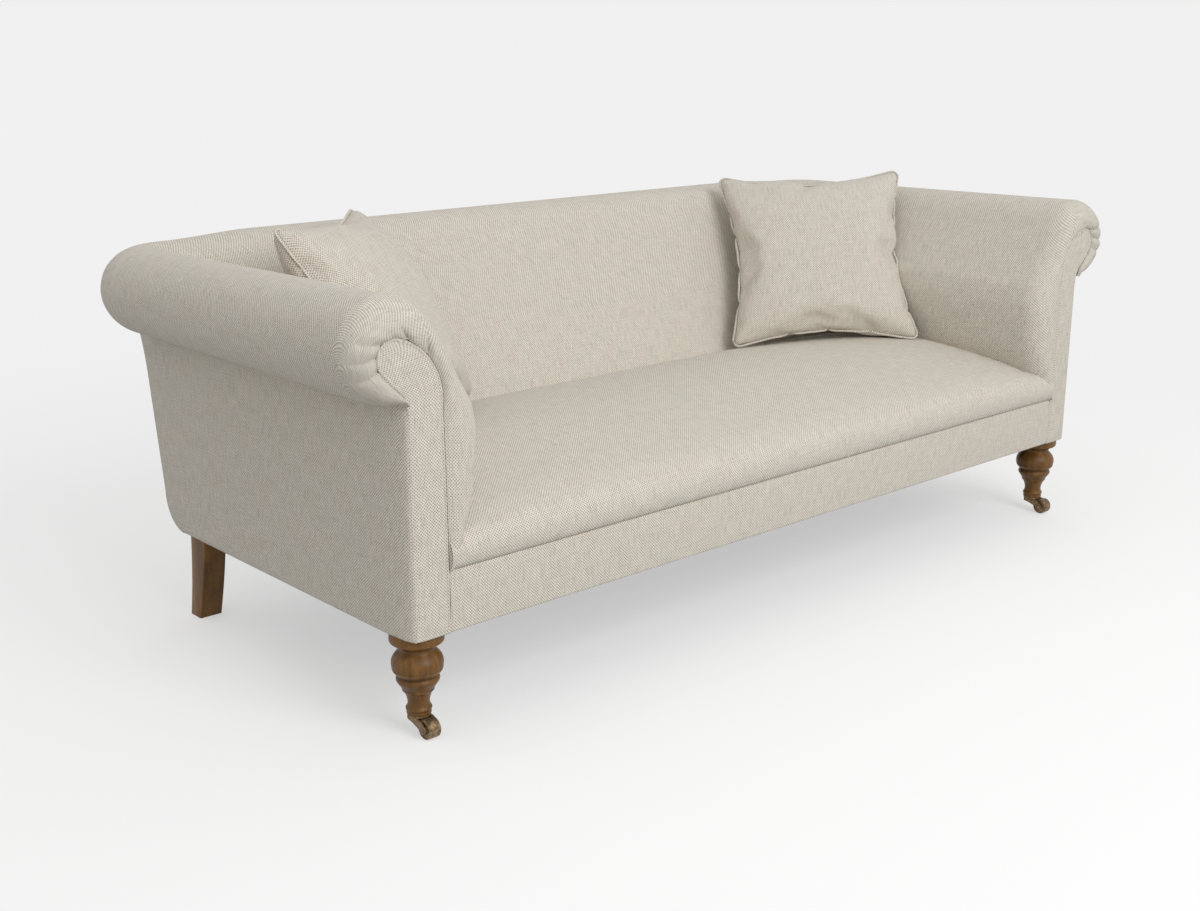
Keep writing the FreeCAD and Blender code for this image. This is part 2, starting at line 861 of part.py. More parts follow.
def arm_path(radius):
    """The full arm section with a roll of this radius."""
    swell = float(size("arm_swell"))
    centre = (float(roll_side) - radius, float(size("roll_underside")) + radius)
    bend = (float(seat_half) - swell, float(size("arm_lean_height")))
    foot = float(seat_half) - float(size("arm_foot_swell"))
    return round_path(foot, bend, centre, radius, float(outer_side), float(arm_outer), pad_low)


def seam_path():
    """The facing's own outline, with the same steps as the full arm section."""
    inner = float(seat_half)
    outer = float(arm_outer)
    head = float(size("head_height"))
    neck = float(size("head_neck_height"))
    bend = float(size("arm_lean_height"))
    reach = outer + float(size("head_reach"))
    return [
        (inner, pad_low),
        (inner + 1.0, bend - 45.0),
        (inner + 3.5, bend + 44.0, inner + 2.0, bend + 4.0),
        (inner + 29.0, head - 34.0),
        (reach, head - 32.0, reach - 35.0, head),
        (outer + 8.0, neck, outer + 38.0, neck + 26.0),
        (outer, neck),
        (outer, pad_low),
    ]


def between(first, second, share):
    """A path part of the way from one to another that has the same steps."""
    path = []
    for a, b in zip(first, second):
        path.append(tuple(p + (q - p) * share for p, q in zip(a, b)))
    return path


def arm_wire(path, depth):
    return wire_of(path, lambda x, z: Vector(x, depth, z))


front_path = arm_path(float(size("roll_front_radius")))
rear_path = arm_path(float(size("roll_rear_radius")))
rounding = float(size("front_rounding"))
arm_wires = []
for share in (0.0, 0.12, 0.45, 1.0):
    fullness = math.sqrt(1.0 - (1.0 - share) ** 2)
    depth = share * rounding - float(size("front_swell"))
    arm_wires.append(arm_wire(between(seam_path(), front_path, fullness), depth))
arm_wires.append(arm_wire(rear_path, float(corner_y)))
arm_form = Part.makeLoft(arm_wires, True, True)


def corner_form(path):
    """The roll's quarter turn from the arm to the back."""
    x = float(corner_x)
    bend, touch, outer, under = path[2], path[3], path[4], path[5]
    rise = bend[1] + (x - bend[0]) * (touch[1] - bend[1]) / (touch[0] - bend[0])
    section = [(x, under[1]), (x, rise), touch, outer, under]
    face = Part.Face(arm_wire(section, float(corner_y)))
    return face.revolve(Vector(x, float(corner_y), 0), Vector(0, 0, 1), 90)


def back_path(centre, radius):
    """The back's section in depth and height."""
    depth = float(back_foot)
    bend = (depth, float(size("back_foot_height")))
    top = float(outside_top)
    path = round_path(depth - 22.0, bend, centre, radius, top, top - float(size("outside_pad")), pad_low)
    path[1] = (depth - 6.0, bend[1] - 30.0)
    path[-1] = (float(post_head), float(head_foot))
    path.append((float(post_foot), float(tack_high)))
    path.append((float(post_foot), pad_low))
    return path


corner = corner_form(rear_path)
full_roll = back_path(
    (float(size("back_roll_depth")), float(size("back_roll_height"))), float(size("back_roll_radius"))
)
rear_centre_z = float(size("roll_underside") + size("roll_rear_radius"))
end_roll = back_path((float(size("back_roll_depth")), rear_centre_z), float(size("roll_rear_radius")))
level_end = float(corner_x) - float(size("corner_radius"))
back_wires = []
for x, path in ((-float(corner_x), end_roll), (-level_end, full_roll), (level_end, full_roll), (float(corner_x), end_roll)):
    back_wires.append(wire_of(path, lambda y, z, x=x: Vector(x, y, z)))
back_form = Part.makeLoft(back_wires, True, True)

far = 1500.0
arm_side = Part.Face(
    Part.makePolygon(
        [
            Vector(mitre - 400.0, -400.0, 100.0),
            Vector(far, -400.0, 100.0),
            Vector(far, far - mitre, 100.0),
            Vector(mitre - 400.0, -400.0, 100.0),
        ]
    )
).extrude(Vector(0, 0, 900.0))
arm_whole = arm_form.fuse(corner).common(arm_side)
back_whole = back_form.fuse([corner, mirrored(corner)]).cut([arm_whole, mirrored(arm_whole)])

facing_face = Part.Face(wire_of(plain(scroll_path(1, 0.0, floor_gap)), lambda x, z: Vector(x, -60.0, z)))
facing_room = facing_face.extrude(Vector(0, 60.0 + float(size("facing_pad")), 0))
board_face = Part.Face(
    wire_of(plain(scroll_path(1, 0.0, floor_gap)), lambda x, z: Vector(x, float(size("facing_pad")), z))
)
board_room = board_face.extrude(Vector(0, float(size("board_thickness")), 0))
back_frame = [placed("back_top_rail"), placed("back_hessian"), placed("back_tack_rail")]
arm_frame = [placed(label + "_right") for label in ("arm_top_rail", "arm_tack_rail", "back_post")]
arm_parts = arm_whole.cut([facing_room, board_room] + arm_frame + back_frame).Solids
arm_pad = max(arm_parts, key=lambda solid: solid.Volume)
for name, side in SIDES:
    formed("arm_pad_" + name, at_face(arm_pad.copy() if side > 0 else mirrored(arm_pad)))

for label in ("back_post_", "back_upright_"):
    back_frame += [placed(label + name) for name, side in SIDES]
back_pad = back_whole.cut(back_frame)
formed("back_pad", at_face(back_pad))


def seat_path(drop):
    """The seat's section in depth and height, lower by the drop that its sides have."""
    seam = float(seam_height) + 1.0
    shoulder = seam + float(size("seat_front_rise")) - drop * 0.4
    crown = float(size("seat_crown")) - drop
    rear = float(size("back_foot_height")) + 4.0 - drop * 0.3
    crown_depth = float(size("crown_depth"))
    back = float(back_foot) + 25.0
    edge = float(size("facing_pad"))
    bottom = float(strap_top)
    swell = float(size("front_swell"))
    return [
        (0.0, seam),
        (18.0, shoulder, -swell, seam + (shoulder - seam) * 0.5),
        (crown_depth, crown, crown_depth * 0.42, crown - 15.0),
        (back, rear, (crown_depth + back) * 0.5 + 10.0, crown - 14.0),
        (back, bottom),
        (edge, bottom),
        (edge, seam),
    ]


side_drop = float(size("seat_side_drop"))
seat_wires = []
for share, drop in ((-1.0, 1.0), (-0.8, 0.45), (-0.4, 0.0), (0.4, 0.0), (0.8, 0.45), (1.0, 1.0)):
    x = float(seat_half) * share
    seat_wires.append(wire_of(seat_path(side_drop * drop), lambda y, z, x=x: Vector(x, y, z)))
seat_form = Part.makeLoft(seat_wires, True, True)
seat_pad = seat_form.cut([arm_whole, mirrored(arm_whole), back_whole])
formed("seat_pad", at_face(seat_pad))

border = Part.makeBox(
    float(seat_half) * 2.0,
    float(size("facing_pad")),
    float(size("border_height")),
    Vector(-float(seat_half), 0, float(floor_gap)),
)
front_edges = [edge for edge in border.Edges if edge.CenterOfMass.y < 0.1 and abs(edge.CenterOfMass.x) < 1.0]
formed("front_border", at_face(border.makeFillet(3.0, front_edges)))

facing = facing_face.copy()
facing.translate(Vector(0, 60.0, 0))
facing = facing.extrude(Vector(0, float(size("facing_pad")), 0))
for name, side in SIDES:
    formed("arm_facing_" + name, at_face(facing.copy() if side > 0 else mirrored(facing)))


def panel_path(line, top):
    """Corners of the outside arm's side view."""
    return [(0.0, float(floor_gap))] + plain(line) + [(float(line[-1][0]), top), (0.0, top)]


outer_line = back_line(Size(0.0, "0"))
inner_line = back_line(size("outside_pad"))
panel_top = float(arm_rail_low) - 26.0
side_face = Part.Face(
    wire_of(panel_path(outer_line, panel_top), lambda y, z: Vector(float(arm_outer), y, z))
)
side_panel = side_face.extrude(Vector(float(size("outside_pad")), 0, 0))
front_edge = [
    edge
    for edge in side_panel.Edges
    if abs(edge.CenterOfMass.y) < 0.1 and abs(edge.CenterOfMass.x - float(outer_side)) < 0.1
]
side_panel = side_panel.makeFillet(8.0, front_edge)
side_panel = side_panel.cut([arm_whole, back_whole, facing_room, board_room])
for name, side in SIDES:
    formed("outside_arm_" + name, at_face(side_panel.copy() if side > 0 else mirrored(side_panel)))

rear_path_out = plain(outer_line)
rear_path_in = plain(inner_line)
rear_outline = [(rear_path_out[0][0], rear_path_in[0][1]), rear_path_out[0]]
rear_outline += rear_path_out[1:]
rear_outline.append(rear_path_in[-1][:2])
for here in range(len(rear_path_in) - 1, 0, -1):
    step = rear_path_in[here]
    rear_outline.append((rear_path_in[here - 1][0], rear_path_in[here - 1][1], step[2], step[3]))
rear_face = Part.Face(wire_of(rear_outline, lambda y, z: Vector(-float(arm_outer), y, z)))
rear_panel = rear_face.extrude(Vector(float(arm_outer) * 2.0, 0, 0))
rear_panel = rear_panel.cut([back_whole, arm_whole, mirrored(arm_whole)])
formed("outside_back", at_face(rear_panel))

# Loose cushions, modelled upright about their own middle and then leant into the corners


def cushion_edges(inset):
    """The drawn-in plan of a cushion as arcs, set in from its outermost line."""
    half = float(size("cushion_side")) / 2.0
    draw = float(size("cushion_draw"))
    ear = 14.0
    side_radius = (half * half + draw * draw) / (2.0 * draw)
    centre = side_radius + half - draw
    half_sum = (side_radius + ear) ** 2
    ear_at = (centre - math.sqrt(2.0 * half_sum - centre * centre)) / 2.0
    corners = []
    for quarter in range(4):
        angle = math.radians(90.0 * quarter)
        turn = lambda x, z, a=angle: Vector(
            x * math.cos(a) - z * math.sin(a), 0, x * math.sin(a) + z * math.cos(a)
        )
        reach = math.hypot(ear_at, centre - ear_at)
        outward = (ear_at / reach, (centre - ear_at) / reach)
        radius = side_radius + inset
        start = (-outward[0] * radius, -centre + outward[1] * radius)
        end = (outward[0] * radius, -centre + outward[1] * radius)
        corners.append(Part.Arc(turn(*start), turn(0, -centre + radius), turn(*end)).toShape())
        after = (centre - outward[1] * radius, -outward[0] * radius)
        tip = ear_at + (ear - inset) / math.sqrt(2.0)
        corners.append(Part.Arc(turn(*end), turn(tip, -tip), turn(*after)).toShape())
    return Part.Wire(corners)


def cushion_body():
    """A crowned body between drawn-in sides."""
    half = float(size("cushion_side")) / 2.0
    edge = float(size("cushion_edge")) / 2.0
    swell = float(size("cushion_thickness")) / 2.0 - edge
    wires = []
    for share in (-1.0, -0.9, -0.7, -0.35, 0.0, 0.35, 0.7, 0.9, 1.0):
        x = half * share
        depth = edge + swell * (1.0 - abs(share) ** 2.2) ** 0.62 + 1.0
        path = [(-edge, -half), (-edge, half, -depth, 0.0), (edge, half), (edge, -half, depth, 0.0)]
        wires.append(wire_of(path, lambda y, z, x=x: Vector(x, y, z)))
    lens = Part.makeLoft(wires, True, True)
    inset = float(size("piping_radius")) * 2.0
    plan = Part.Face(cushion_edges(inset))
    plan.translate(Vector(0, -half, 0))
    return lens.common(plan.extrude(Vector(0, half * 2.0, 0)))


def cushion_piping():
    """One piped cord round the seam, with eight flats because it is so thin."""
    radius = float(size("piping_radius"))
    lengths = []
    for edge in cushion_edges(radius).Edges:
        start = edge.valueAt(edge.FirstParameter)
        outward = (start - edge.Curve.Center).normalize() * radius
        across_cord = Vector(0, radius, 0)
        corners = []
        for number in range(9):
            angle = math.radians(22.5 + 45.0 * number)
            corners.append(start + outward * math.cos(angle) + across_cord * math.sin(angle))
        section = Part.Face(Part.makePolygon(corners))
        turn = math.degrees(edge.LastParameter - edge.FirstParameter)
        lengths.append(section.revolve(edge.Curve.Center, edge.Curve.Axis, turn))
    return lengths[0].fuse(lengths[1:]).removeSplitter()


cushion_x = seat_half - size("cushion_from_side")
cushion_y = face_y + back_foot - size("cushion_from_back")
cushion_z = size("seat_crown") - size("seat_side_drop") + size("cushion_rise")
clear = float(size("soft_clearance")) * 1.4
body_shape = cushion_body()
piping_shape = cushion_piping()
for name, side in SIDES:
    turn = Rotation(Vector(0, 0, 1), -side * float(size("cushion_yaw")))
    lean = Rotation(Vector(1, 0, 0), -float(size("cushion_lean")))
    tip = Rotation(Vector(0, 1, 0), -side * float(size("cushion_tip")))
    middle = Vector(float(cushion_x) * side, float(cushion_y), float(cushion_z))
    where = Placement(middle, turn.multiply(lean).multiply(tip))
    rests = []
    arm_rest = arm_whole if side > 0 else mirrored(arm_whole)
    for shape, shift in ((arm_rest, (-clear * side, 0, clear)), (back_whole, (0, -clear, clear)), (seat_form, (0, 0, clear))):
        rest = shape.copy()
        rest.translate(Vector(*shift) + Vector(0, float(face_y), 0))
        rest.transformShape(where.inverse().toMatrix())
        rests.append(rest)
    for label, shape in (("cushion_", body_shape.cut(rests)), ("cushion_piping_", piping_shape.copy())):
        piece = formed(label + name, shape)
        piece.Placement = where

doc.recompute()


def check():
    """Stops if any object failed or any sub-part has no sound solid."""
    for item in doc.Objects:
        if "Invalid" in item.State or "Error" in item.State:
            raise RuntimeError("%s: %s" % (item.Name, item.State))
    for piece in pieces:
        shape = piece.Shape
        if shape.isNull() or not shape.isValid() or not shape.Solids or shape.Volume <= 0:
            raise RuntimeError("%s has no sound solid" % piece.Label)


check()
os.makedirs("parts", exist_ok=True)
for piece in pieces:
    piece.Shape.exportStep("parts/%s.step" % piece.Label)
print("%d sub-parts written" % len(pieces))
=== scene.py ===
import json
import math
import bpy
import numpy as np
from mathutils import Euler, Matrix, Vector, noise
from mathutils.bvhtree import BVHTree


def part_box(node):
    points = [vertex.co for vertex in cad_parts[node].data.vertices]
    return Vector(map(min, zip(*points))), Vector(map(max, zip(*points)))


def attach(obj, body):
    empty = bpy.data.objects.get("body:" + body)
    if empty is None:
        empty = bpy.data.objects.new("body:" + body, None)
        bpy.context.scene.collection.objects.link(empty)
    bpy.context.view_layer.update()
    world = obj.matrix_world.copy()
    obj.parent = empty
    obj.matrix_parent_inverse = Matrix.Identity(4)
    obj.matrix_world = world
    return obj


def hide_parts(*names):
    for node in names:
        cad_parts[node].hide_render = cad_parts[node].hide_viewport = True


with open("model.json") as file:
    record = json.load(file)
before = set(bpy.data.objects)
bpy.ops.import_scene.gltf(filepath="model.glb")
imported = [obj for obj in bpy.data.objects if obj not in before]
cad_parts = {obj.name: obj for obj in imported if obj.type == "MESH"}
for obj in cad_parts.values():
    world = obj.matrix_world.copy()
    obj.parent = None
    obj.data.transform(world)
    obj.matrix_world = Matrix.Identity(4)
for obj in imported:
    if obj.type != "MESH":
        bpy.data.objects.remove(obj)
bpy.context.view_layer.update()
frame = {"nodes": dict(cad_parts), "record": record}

# Shapes are written in millimetres: x from the middle, d the depth behind the arm facings, z up.
MM = 0.001
BORDER_LOW, BORDER_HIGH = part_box("front_border")
FACE = BORDER_LOW.y  # the plane of the arm facings, in metres
HALF = BORDER_HIGH.x / MM  # from the middle to the inside of a facing
BASE = BORDER_LOW.z / MM  # the lower edge of the covers
SEAM = BORDER_HIGH.z / MM  # between the front border and the seat
FACING = 70.0  # a facing's width
ARM_OUT = HALF + FACING
SIDE = ARM_OUT + 10.0  # the outside arm panels
ROLL_SIDE = SIDE + 95.0  # the widest part of the arm rolls
UNDERSIDE = 574.0  # the lowest part of the arm rolls
ROLL_FRONT = 86.0  # an arm roll's radius at its front
ROLL_REAR = 80.5  # and at its turn to the back
BACK_ROLL = (872.0, 664.0, 80.0)  # depth, height and radius of the back's roll
CORNER = 74.0  # from the rolls' centre lines to the centre of the turn
CORNER_X = ROLL_SIDE - ROLL_REAR - CORNER
CORNER_D = BACK_ROLL[0] - CORNER
MITRE = CORNER_X - CORNER_D  # x less depth all along the mitre
FACE_ROWS, ROLL_ROWS, UNDER_ROWS, TUCK_ROWS = 44, 76, 56, 4  # steps along a padded section
SIDES = (("left", -1), ("right", 1))


def spot(x, d, z):
    """A place in the row frame, in metres."""
    return (x * MM, FACE + d * MM, z * MM)


def in_row(places):
    """A grid of places in millimetres, brought to the row frame."""
    return np.stack([places[..., 0] * MM, FACE + places[..., 1] * MM, places[..., 2] * MM], 2)


# ---- curves and grids


def arc(start, via, end, count):
    """Points on the circle through three points, from start to end."""
    ax, ay = start
    bx, by = via
    cx, cy = end
    k = 2 * (ax * (by - cy) + bx * (cy - ay) + cx * (ay - by))
    a2, b2, c2 = ax * ax + ay * ay, bx * bx + by * by, cx * cx + cy * cy
    ox = (a2 * (by - cy) + b2 * (cy - ay) + c2 * (ay - by)) / k
    oy = (a2 * (cx - bx) + b2 * (ax - cx) + c2 * (bx - ax)) / k
    radius = math.hypot(ax - ox, ay - oy)
    first = math.atan2(ay - oy, ax - ox)
    middle = (math.atan2(by - oy, bx - ox) - first) % (2 * math.pi)
    last = (math.atan2(cy - oy, cx - ox) - first) % (2 * math.pi)
    if middle > last:
        last -= 2 * math.pi
    angles = first + np.linspace(0, last, count)
    return np.stack([ox + radius * np.cos(angles), oy + radius * np.sin(angles)], 1)


def resample(points, count):
    """The same line with evenly spaced points."""
    points = np.asarray(points, float)
    steps = np.linalg.norm(np.diff(points, axis=0), axis=1)
    along = np.concatenate([[0], np.cumsum(steps)])
    wanted = np.linspace(0, along[-1], count)
    return np.stack([np.interp(wanted, along, points[:, axis]) for axis in range(points.shape[1])], 1)


def smooth_line(points, count):
    """A smooth line through points, by cubic pieces whose slopes follow the neighbours."""
    points = np.asarray(points, float)
    padded = np.vstack([2 * points[0] - points[1], points, 2 * points[-1] - points[-2]])
    fine = []
    for a, b, c, d in zip(padded[:-3], padded[1:-2], padded[2:-1], padded[3:]):
        for t in np.linspace(0, 1, 12, endpoint=False):
            bend = (2 * a - 5 * b + 4 * c - d) * t**2
            fine.append(0.5 * (2 * b + (c - a) * t + bend + (3 * b - a - 3 * c + d) * t**3))
    fine.append(points[-1])
    return resample(fine, count)


def stitch(parts):
    """Lines joined end to end, each given as (points, count)."""
    lines = []
    for points, count in parts:
        line = resample(points, count + 1)
        lines.append(line if not lines else line[1:])
    return np.vstack(lines)


def add_mesh(name, vertices, faces, uvs=None):
    """A new smooth-shaded mesh object; uvs gives one place per vertex, in metres of cloth."""
    mesh = bpy.data.meshes.new(name)
    mesh.from_pydata([tuple(v) for v in vertices], [], [tuple(f) for f in faces])
    if uvs is not None:
        layer = mesh.uv_layers.new(name="cloth")
        corners = np.zeros(len(mesh.loops), np.int32)
        mesh.loops.foreach_get("vertex_index", corners)
        layer.data.foreach_set("uv", np.asarray(uvs, float)[corners].ravel())
    mesh.polygons.foreach_set("use_smooth", [True] * len(mesh.polygons))
    mesh.update()
    piece = bpy.data.objects.new(name, mesh)
    bpy.context.scene.collection.objects.link(piece)
    return piece


def lengths(places):
    """How far each place of a grid lies down its column and across its row."""
    rows, columns = places.shape[:2]
    down = np.cumsum(np.linalg.norm(np.diff(places, axis=0), axis=2), axis=0)
    across = np.cumsum(np.linalg.norm(np.diff(places, axis=1), axis=2), axis=1)
    return np.vstack([np.zeros((1, columns)), down]), np.hstack([np.zeros((rows, 1)), across])


def grid(name, places, flip=False):
    """A skin through a grid of places in the row frame, with cloth coordinates by length."""
    places = np.asarray(places, float)
    rows, columns = places.shape[:2]
    down, across = lengths(places)
    faces = []
    for i in range(rows - 1):
        for j in range(columns - 1):
            a, b = i * columns + j, i * columns + j + 1
            c, d = b + columns, a + columns
            faces.append((a, d, c, b) if flip else (a, b, c, d))
    uvs = np.stack([across.ravel(), down.ravel()], 1)
    return add_mesh(name, places.reshape(-1, 3), faces, uvs)


def ringed(name, rings):
    """A closed skin through rings of places, with flat ends."""
    count = len(rings[0])
    faces = []
    for i in range(len(rings) - 1):
        for k in range(count):
            a, b = i * count + k, i * count + (k + 1) % count
            faces.append((a, b, b + count, a + count))
    faces.append(tuple(range(count - 1, -1, -1)))
    faces.append(tuple(range((len(rings) - 1) * count, len(rings) * count)))
    return add_mesh(name, [place for ring in rings for place in ring], faces)


def loop_cord(name, line, radius, sides=8):
    """A round cord along a closed line of places in the row frame."""
    line = [Vector(p) for p in line]
    count = len(line)
    rings, uvs, along = [], [], 0.0
    normal = None
    for i, here in enumerate(line):
        heading = (line[(i + 1) % count] - line[(i - 1) % count]).normalized()
        if normal is None:
            normal = heading.orthogonal().normalized()
        normal = (normal - heading * normal.dot(heading)).normalized()
        other = heading.cross(normal)
        if i:
            along += (here - line[i - 1]).length
        for k in range(sides):
            angle = 2 * math.pi * k / sides
            rings.append(here + (normal * math.cos(angle) + other * math.sin(angle)) * radius)
            uvs.append((along, radius * angle))
    faces = []
    for i in range(count):
        for k in range(sides):
            a, b = i * sides + k, i * sides + (k + 1) % sides
            c, d = ((i + 1) % count) * sides + (k + 1) % sides, ((i + 1) % count) * sides + k
            faces.append((a, b, c, d))
    return add_mesh(name, rings, faces, uvs)


def sharpen(piece, angle):
    """Smooth shading that stops at edges sharper than an angle."""
    mesh = piece.data
    mesh.polygons.foreach_set("use_smooth", [True] * len(mesh.polygons))
    mesh.set_sharp_from_angle(angle=math.radians(angle))


# ---- materials


class Nodes:
    """A short way to write a material's node graph."""

    def __init__(self, name):
        self.material = bpy.data.materials.new(name)
        self.material.use_nodes = True
        self.tree = self.material.node_tree
        self.shader = self.tree.nodes["Principled BSDF"]

    def add(self, kind, **settings):
        node = self.tree.nodes.new(kind)
        for key, value in settings.items():
            setattr(node, key, value)
        return node

    def wire(self, source, target):
        self.tree.links.new(source, target)

    def put(self, socket, value):
        """Sets a socket to a value, or links an output to it."""
        if isinstance(value, (int, float, tuple)):
            socket.default_value = value
        else:
            self.wire(value, socket)

    def sums(self, operation, *values, clamp=False):
        """The output of a Math node."""
        node = self.add("ShaderNodeMath", operation=operation, use_clamp=clamp)
        for socket, value in zip(node.inputs, values):
            self.put(socket, value)
        return node.outputs[0]

    def vector(self, x, y, z=0.0):
        node = self.add("ShaderNodeCombineXYZ")
        for socket, value in zip(node.inputs, (x, y, z)):
            self.put(socket, value)
        return node.outputs[0]

    def noise(self, place, scale=1.0, detail=2.0):
        node = self.add("ShaderNodeTexNoise")
        self.put(node.inputs["Vector"], place)
        node.inputs["Scale"].default_value = scale
        node.inputs["Detail"].default_value = detail
        return node.outputs["Fac"]

    def ramp(self, value, stops):
        node = self.add("ShaderNodeValToRGB")
        self.put(node.inputs[0], value)
        elements = node.color_ramp.elements
        while len(elements) < len(stops):
            elements.new(0.5)
        for element, (place, colour) in zip(elements, stops):
            element.position = place
            element.color = (*colour, 1.0)
        return node.outputs["Color"]

    def mix(self, share, first, second, blend="MIX"):
        node = self.add("ShaderNodeMix", data_type="RGBA", blend_type=blend)
        self.put(node.inputs[0], share)
        self.put(node.inputs[6], first if not isinstance(first, tuple) else (*first, 1.0))
        self.put(node.inputs[7], second if not isinstance(second, tuple) else (*second, 1.0))
        return node.outputs[2]

    def bump(self, height, distance, strength):
        node = self.add("ShaderNodeBump")
        node.inputs["Strength"].default_value = strength
        node.inputs["Distance"].default_value = distance
        self.put(node.inputs["Height"], height)
        return node.outputs["Normal"]


THREAD = 2.8 * MM
# The yarns' tones from dark to light, and the tone of the holes between them
YARNS = (
    (0.30, (0.59, 0.547, 0.475)),
    (0.44, (0.72, 0.665, 0.578)),
    (0.56, (0.78, 0.725, 0.637)),
    (0.72, (0.84, 0.795, 0.715)),
)
HOLES = (0.24, 0.22, 0.18)


def linen(name, turn=0.0, lift=1.0):
    """Linen in a plain weave of beige and cream yarns, with faint grey-green and rose clouds."""
    n = Nodes(name)
    cloth = n.add("ShaderNodeUVMap", uv_map="cloth").outputs[0]
    turned = n.add("ShaderNodeVectorRotate", rotation_type="Z_AXIS")
    n.put(turned.inputs["Vector"], cloth)
    turned.inputs["Angle"].default_value = math.radians(turn)
    parts = n.add("ShaderNodeSeparateXYZ")
    n.wire(turned.outputs[0], parts.inputs[0])
    u = n.sums("DIVIDE", parts.outputs[0], THREAD)
    v = n.sums("DIVIDE", parts.outputs[1], THREAD)
    wobble = n.sums("MULTIPLY", n.noise(n.vector(u, v), 0.11), 0.9)
    across = n.sums("SINE", n.sums("MULTIPLY", n.sums("ADD", u, wobble), math.pi))
    along = n.sums("SINE", n.sums("MULTIPLY", n.sums("ADD", v, wobble), math.pi))
    check = n.sums("MULTIPLY", across, along)
    warp = n.noise(n.vector(n.sums("MULTIPLY", u, 0.8), n.sums("MULTIPLY", v, 0.09)), 1.0, 2.0)
    weft = n.noise(n.vector(n.sums("MULTIPLY", u, 0.07), n.sums("MULTIPLY", v, 0.8), 7.0), 1.0, 2.0)
    over = n.sums("GREATER_THAN", check, 0.0)
    # A lift above 1 lightens the yarn tones as a painted highlight; the piping's copy uses it
    tones = [(share, tuple(part * lift for part in colour)) for share, colour in YARNS]
    yarn = n.mix(over, n.ramp(weft, tones), n.ramp(warp, tones))
    patches = n.noise(n.vector(u, v, 3.0), 0.055, 3.0)
    clouds = ((0.36, (0.975, 0.992, 0.98)), (0.5, (1.0, 1.0, 1.0)), (0.64, (1.0, 0.982, 0.976)))
    yarn = n.mix(1.0, yarn, n.ramp(patches, clouds), "MULTIPLY")
    deep = n.sums("MULTIPLY", n.sums("MULTIPLY", check, -1.0), 1.4, clamp=True)
    n.wire(n.mix(n.sums("MULTIPLY", deep, 0.85), yarn, HOLES), n.shader.inputs["Base Color"])
    fuzz = n.noise(n.vector(u, v, 11.0), 2.3, 3.0)
    n.wire(n.sums("ADD", n.sums("MULTIPLY", fuzz, 0.16), 0.78), n.shader.inputs["Roughness"])
    n.shader.inputs["Specular IOR Level"].default_value = 0.25
    n.shader.inputs["Sheen Weight"].default_value = 0.12
    n.shader.inputs["Sheen Roughness"].default_value = 0.6
    height = n.sums("ADD", check, n.sums("MULTIPLY", fuzz, 0.6))
    n.wire(n.bump(height, 0.35 * MM, 0.8), n.shader.inputs["Normal"])
    return n.material


def timber(name, dark, light, along, scale, rough, wear=0.0):
    """Wood whose grain runs along one axis, with edges rubbed lighter by wear and painted shade darkening its
    hollows.
    """
    n = Nodes(name)
    place = n.add("ShaderNodeTexCoord").outputs["Object"]
    stretch = n.add("ShaderNodeMapping")
    stretch.inputs["Scale"].default_value = along
    n.wire(place, stretch.inputs["Vector"])
    broad = n.noise(stretch.outputs[0], scale, 4.0)
    fine = n.noise(stretch.outputs[0], scale * 7, 3.0)
    figure = n.sums("ADD", n.sums("MULTIPLY", broad, 0.7), n.sums("MULTIPLY", fine, 0.3))
    colour = n.ramp(figure, ((0.34, dark), (0.66, light)))
    if wear:
        # By pointiness: ridges lighter as rubbed wear, hollows darkened to 0.55 as painted shade
        edge = n.add("ShaderNodeNewGeometry").outputs["Pointiness"]
        wear_and_hollow_shade = ((0.47, (0.55,) * 3), (0.5, (1.0,) * 3), (0.54, (1 + wear,) * 3))
        colour = n.mix(1.0, colour, n.ramp(edge, wear_and_hollow_shade), "MULTIPLY")
    n.wire(colour, n.shader.inputs["Base Color"])
    n.wire(n.sums("ADD", n.sums("MULTIPLY", fine, 0.2), rough - 0.1), n.shader.inputs["Roughness"])
    n.shader.inputs["Specular IOR Level"].default_value = 0.3
    n.wire(n.bump(fine, 0.15 * MM, 0.5), n.shader.inputs["Normal"])
    return n.material


def metal(name, dark, light, rough):
    """Aged metal with tarnish."""
    n = Nodes(name)
    place = n.add("ShaderNodeTexCoord").outputs["Object"]
    tarnish = n.noise(place, 180.0, 5.0)
    n.wire(n.ramp(tarnish, ((0.35, dark), (0.65, light))), n.shader.inputs["Base Color"])
    n.shader.inputs["Metallic"].default_value = 0.75
    n.wire(n.sums("ADD", n.sums("MULTIPLY", tarnish, 0.25), rough - 0.12), n.shader.inputs["Roughness"])
    n.wire(n.bump(tarnish, 0.1 * MM, 0.3), n.shader.inputs["Normal"])
    return n.material


def plain_weave(name, dark, light, pitch):
    """A coarse plain weave seen only from below or inside."""
    n = Nodes(name)
    place = n.add("ShaderNodeTexCoord").outputs["Object"]
    parts = n.add("ShaderNodeSeparateXYZ")
    n.wire(place, parts.inputs[0])
    waves = []
    for axis in range(3):
        waves.append(n.sums("SINE", n.sums("MULTIPLY", parts.outputs[axis], math.pi / pitch)))
    check = n.sums("MULTIPLY", waves[0], n.sums("ADD", waves[1], waves[2]))
    grain = n.noise(place, 300.0, 3.0)
    tone = n.sums("ADD", n.sums("MULTIPLY", check, 0.2), grain)
    n.wire(n.ramp(tone, ((0.3, dark), (0.7, light))), n.shader.inputs["Base Color"])
    n.shader.inputs["Roughness"].default_value = 0.9
    n.wire(n.bump(check, 0.3 * MM, 0.6), n.shader.inputs["Normal"])
    return n.material


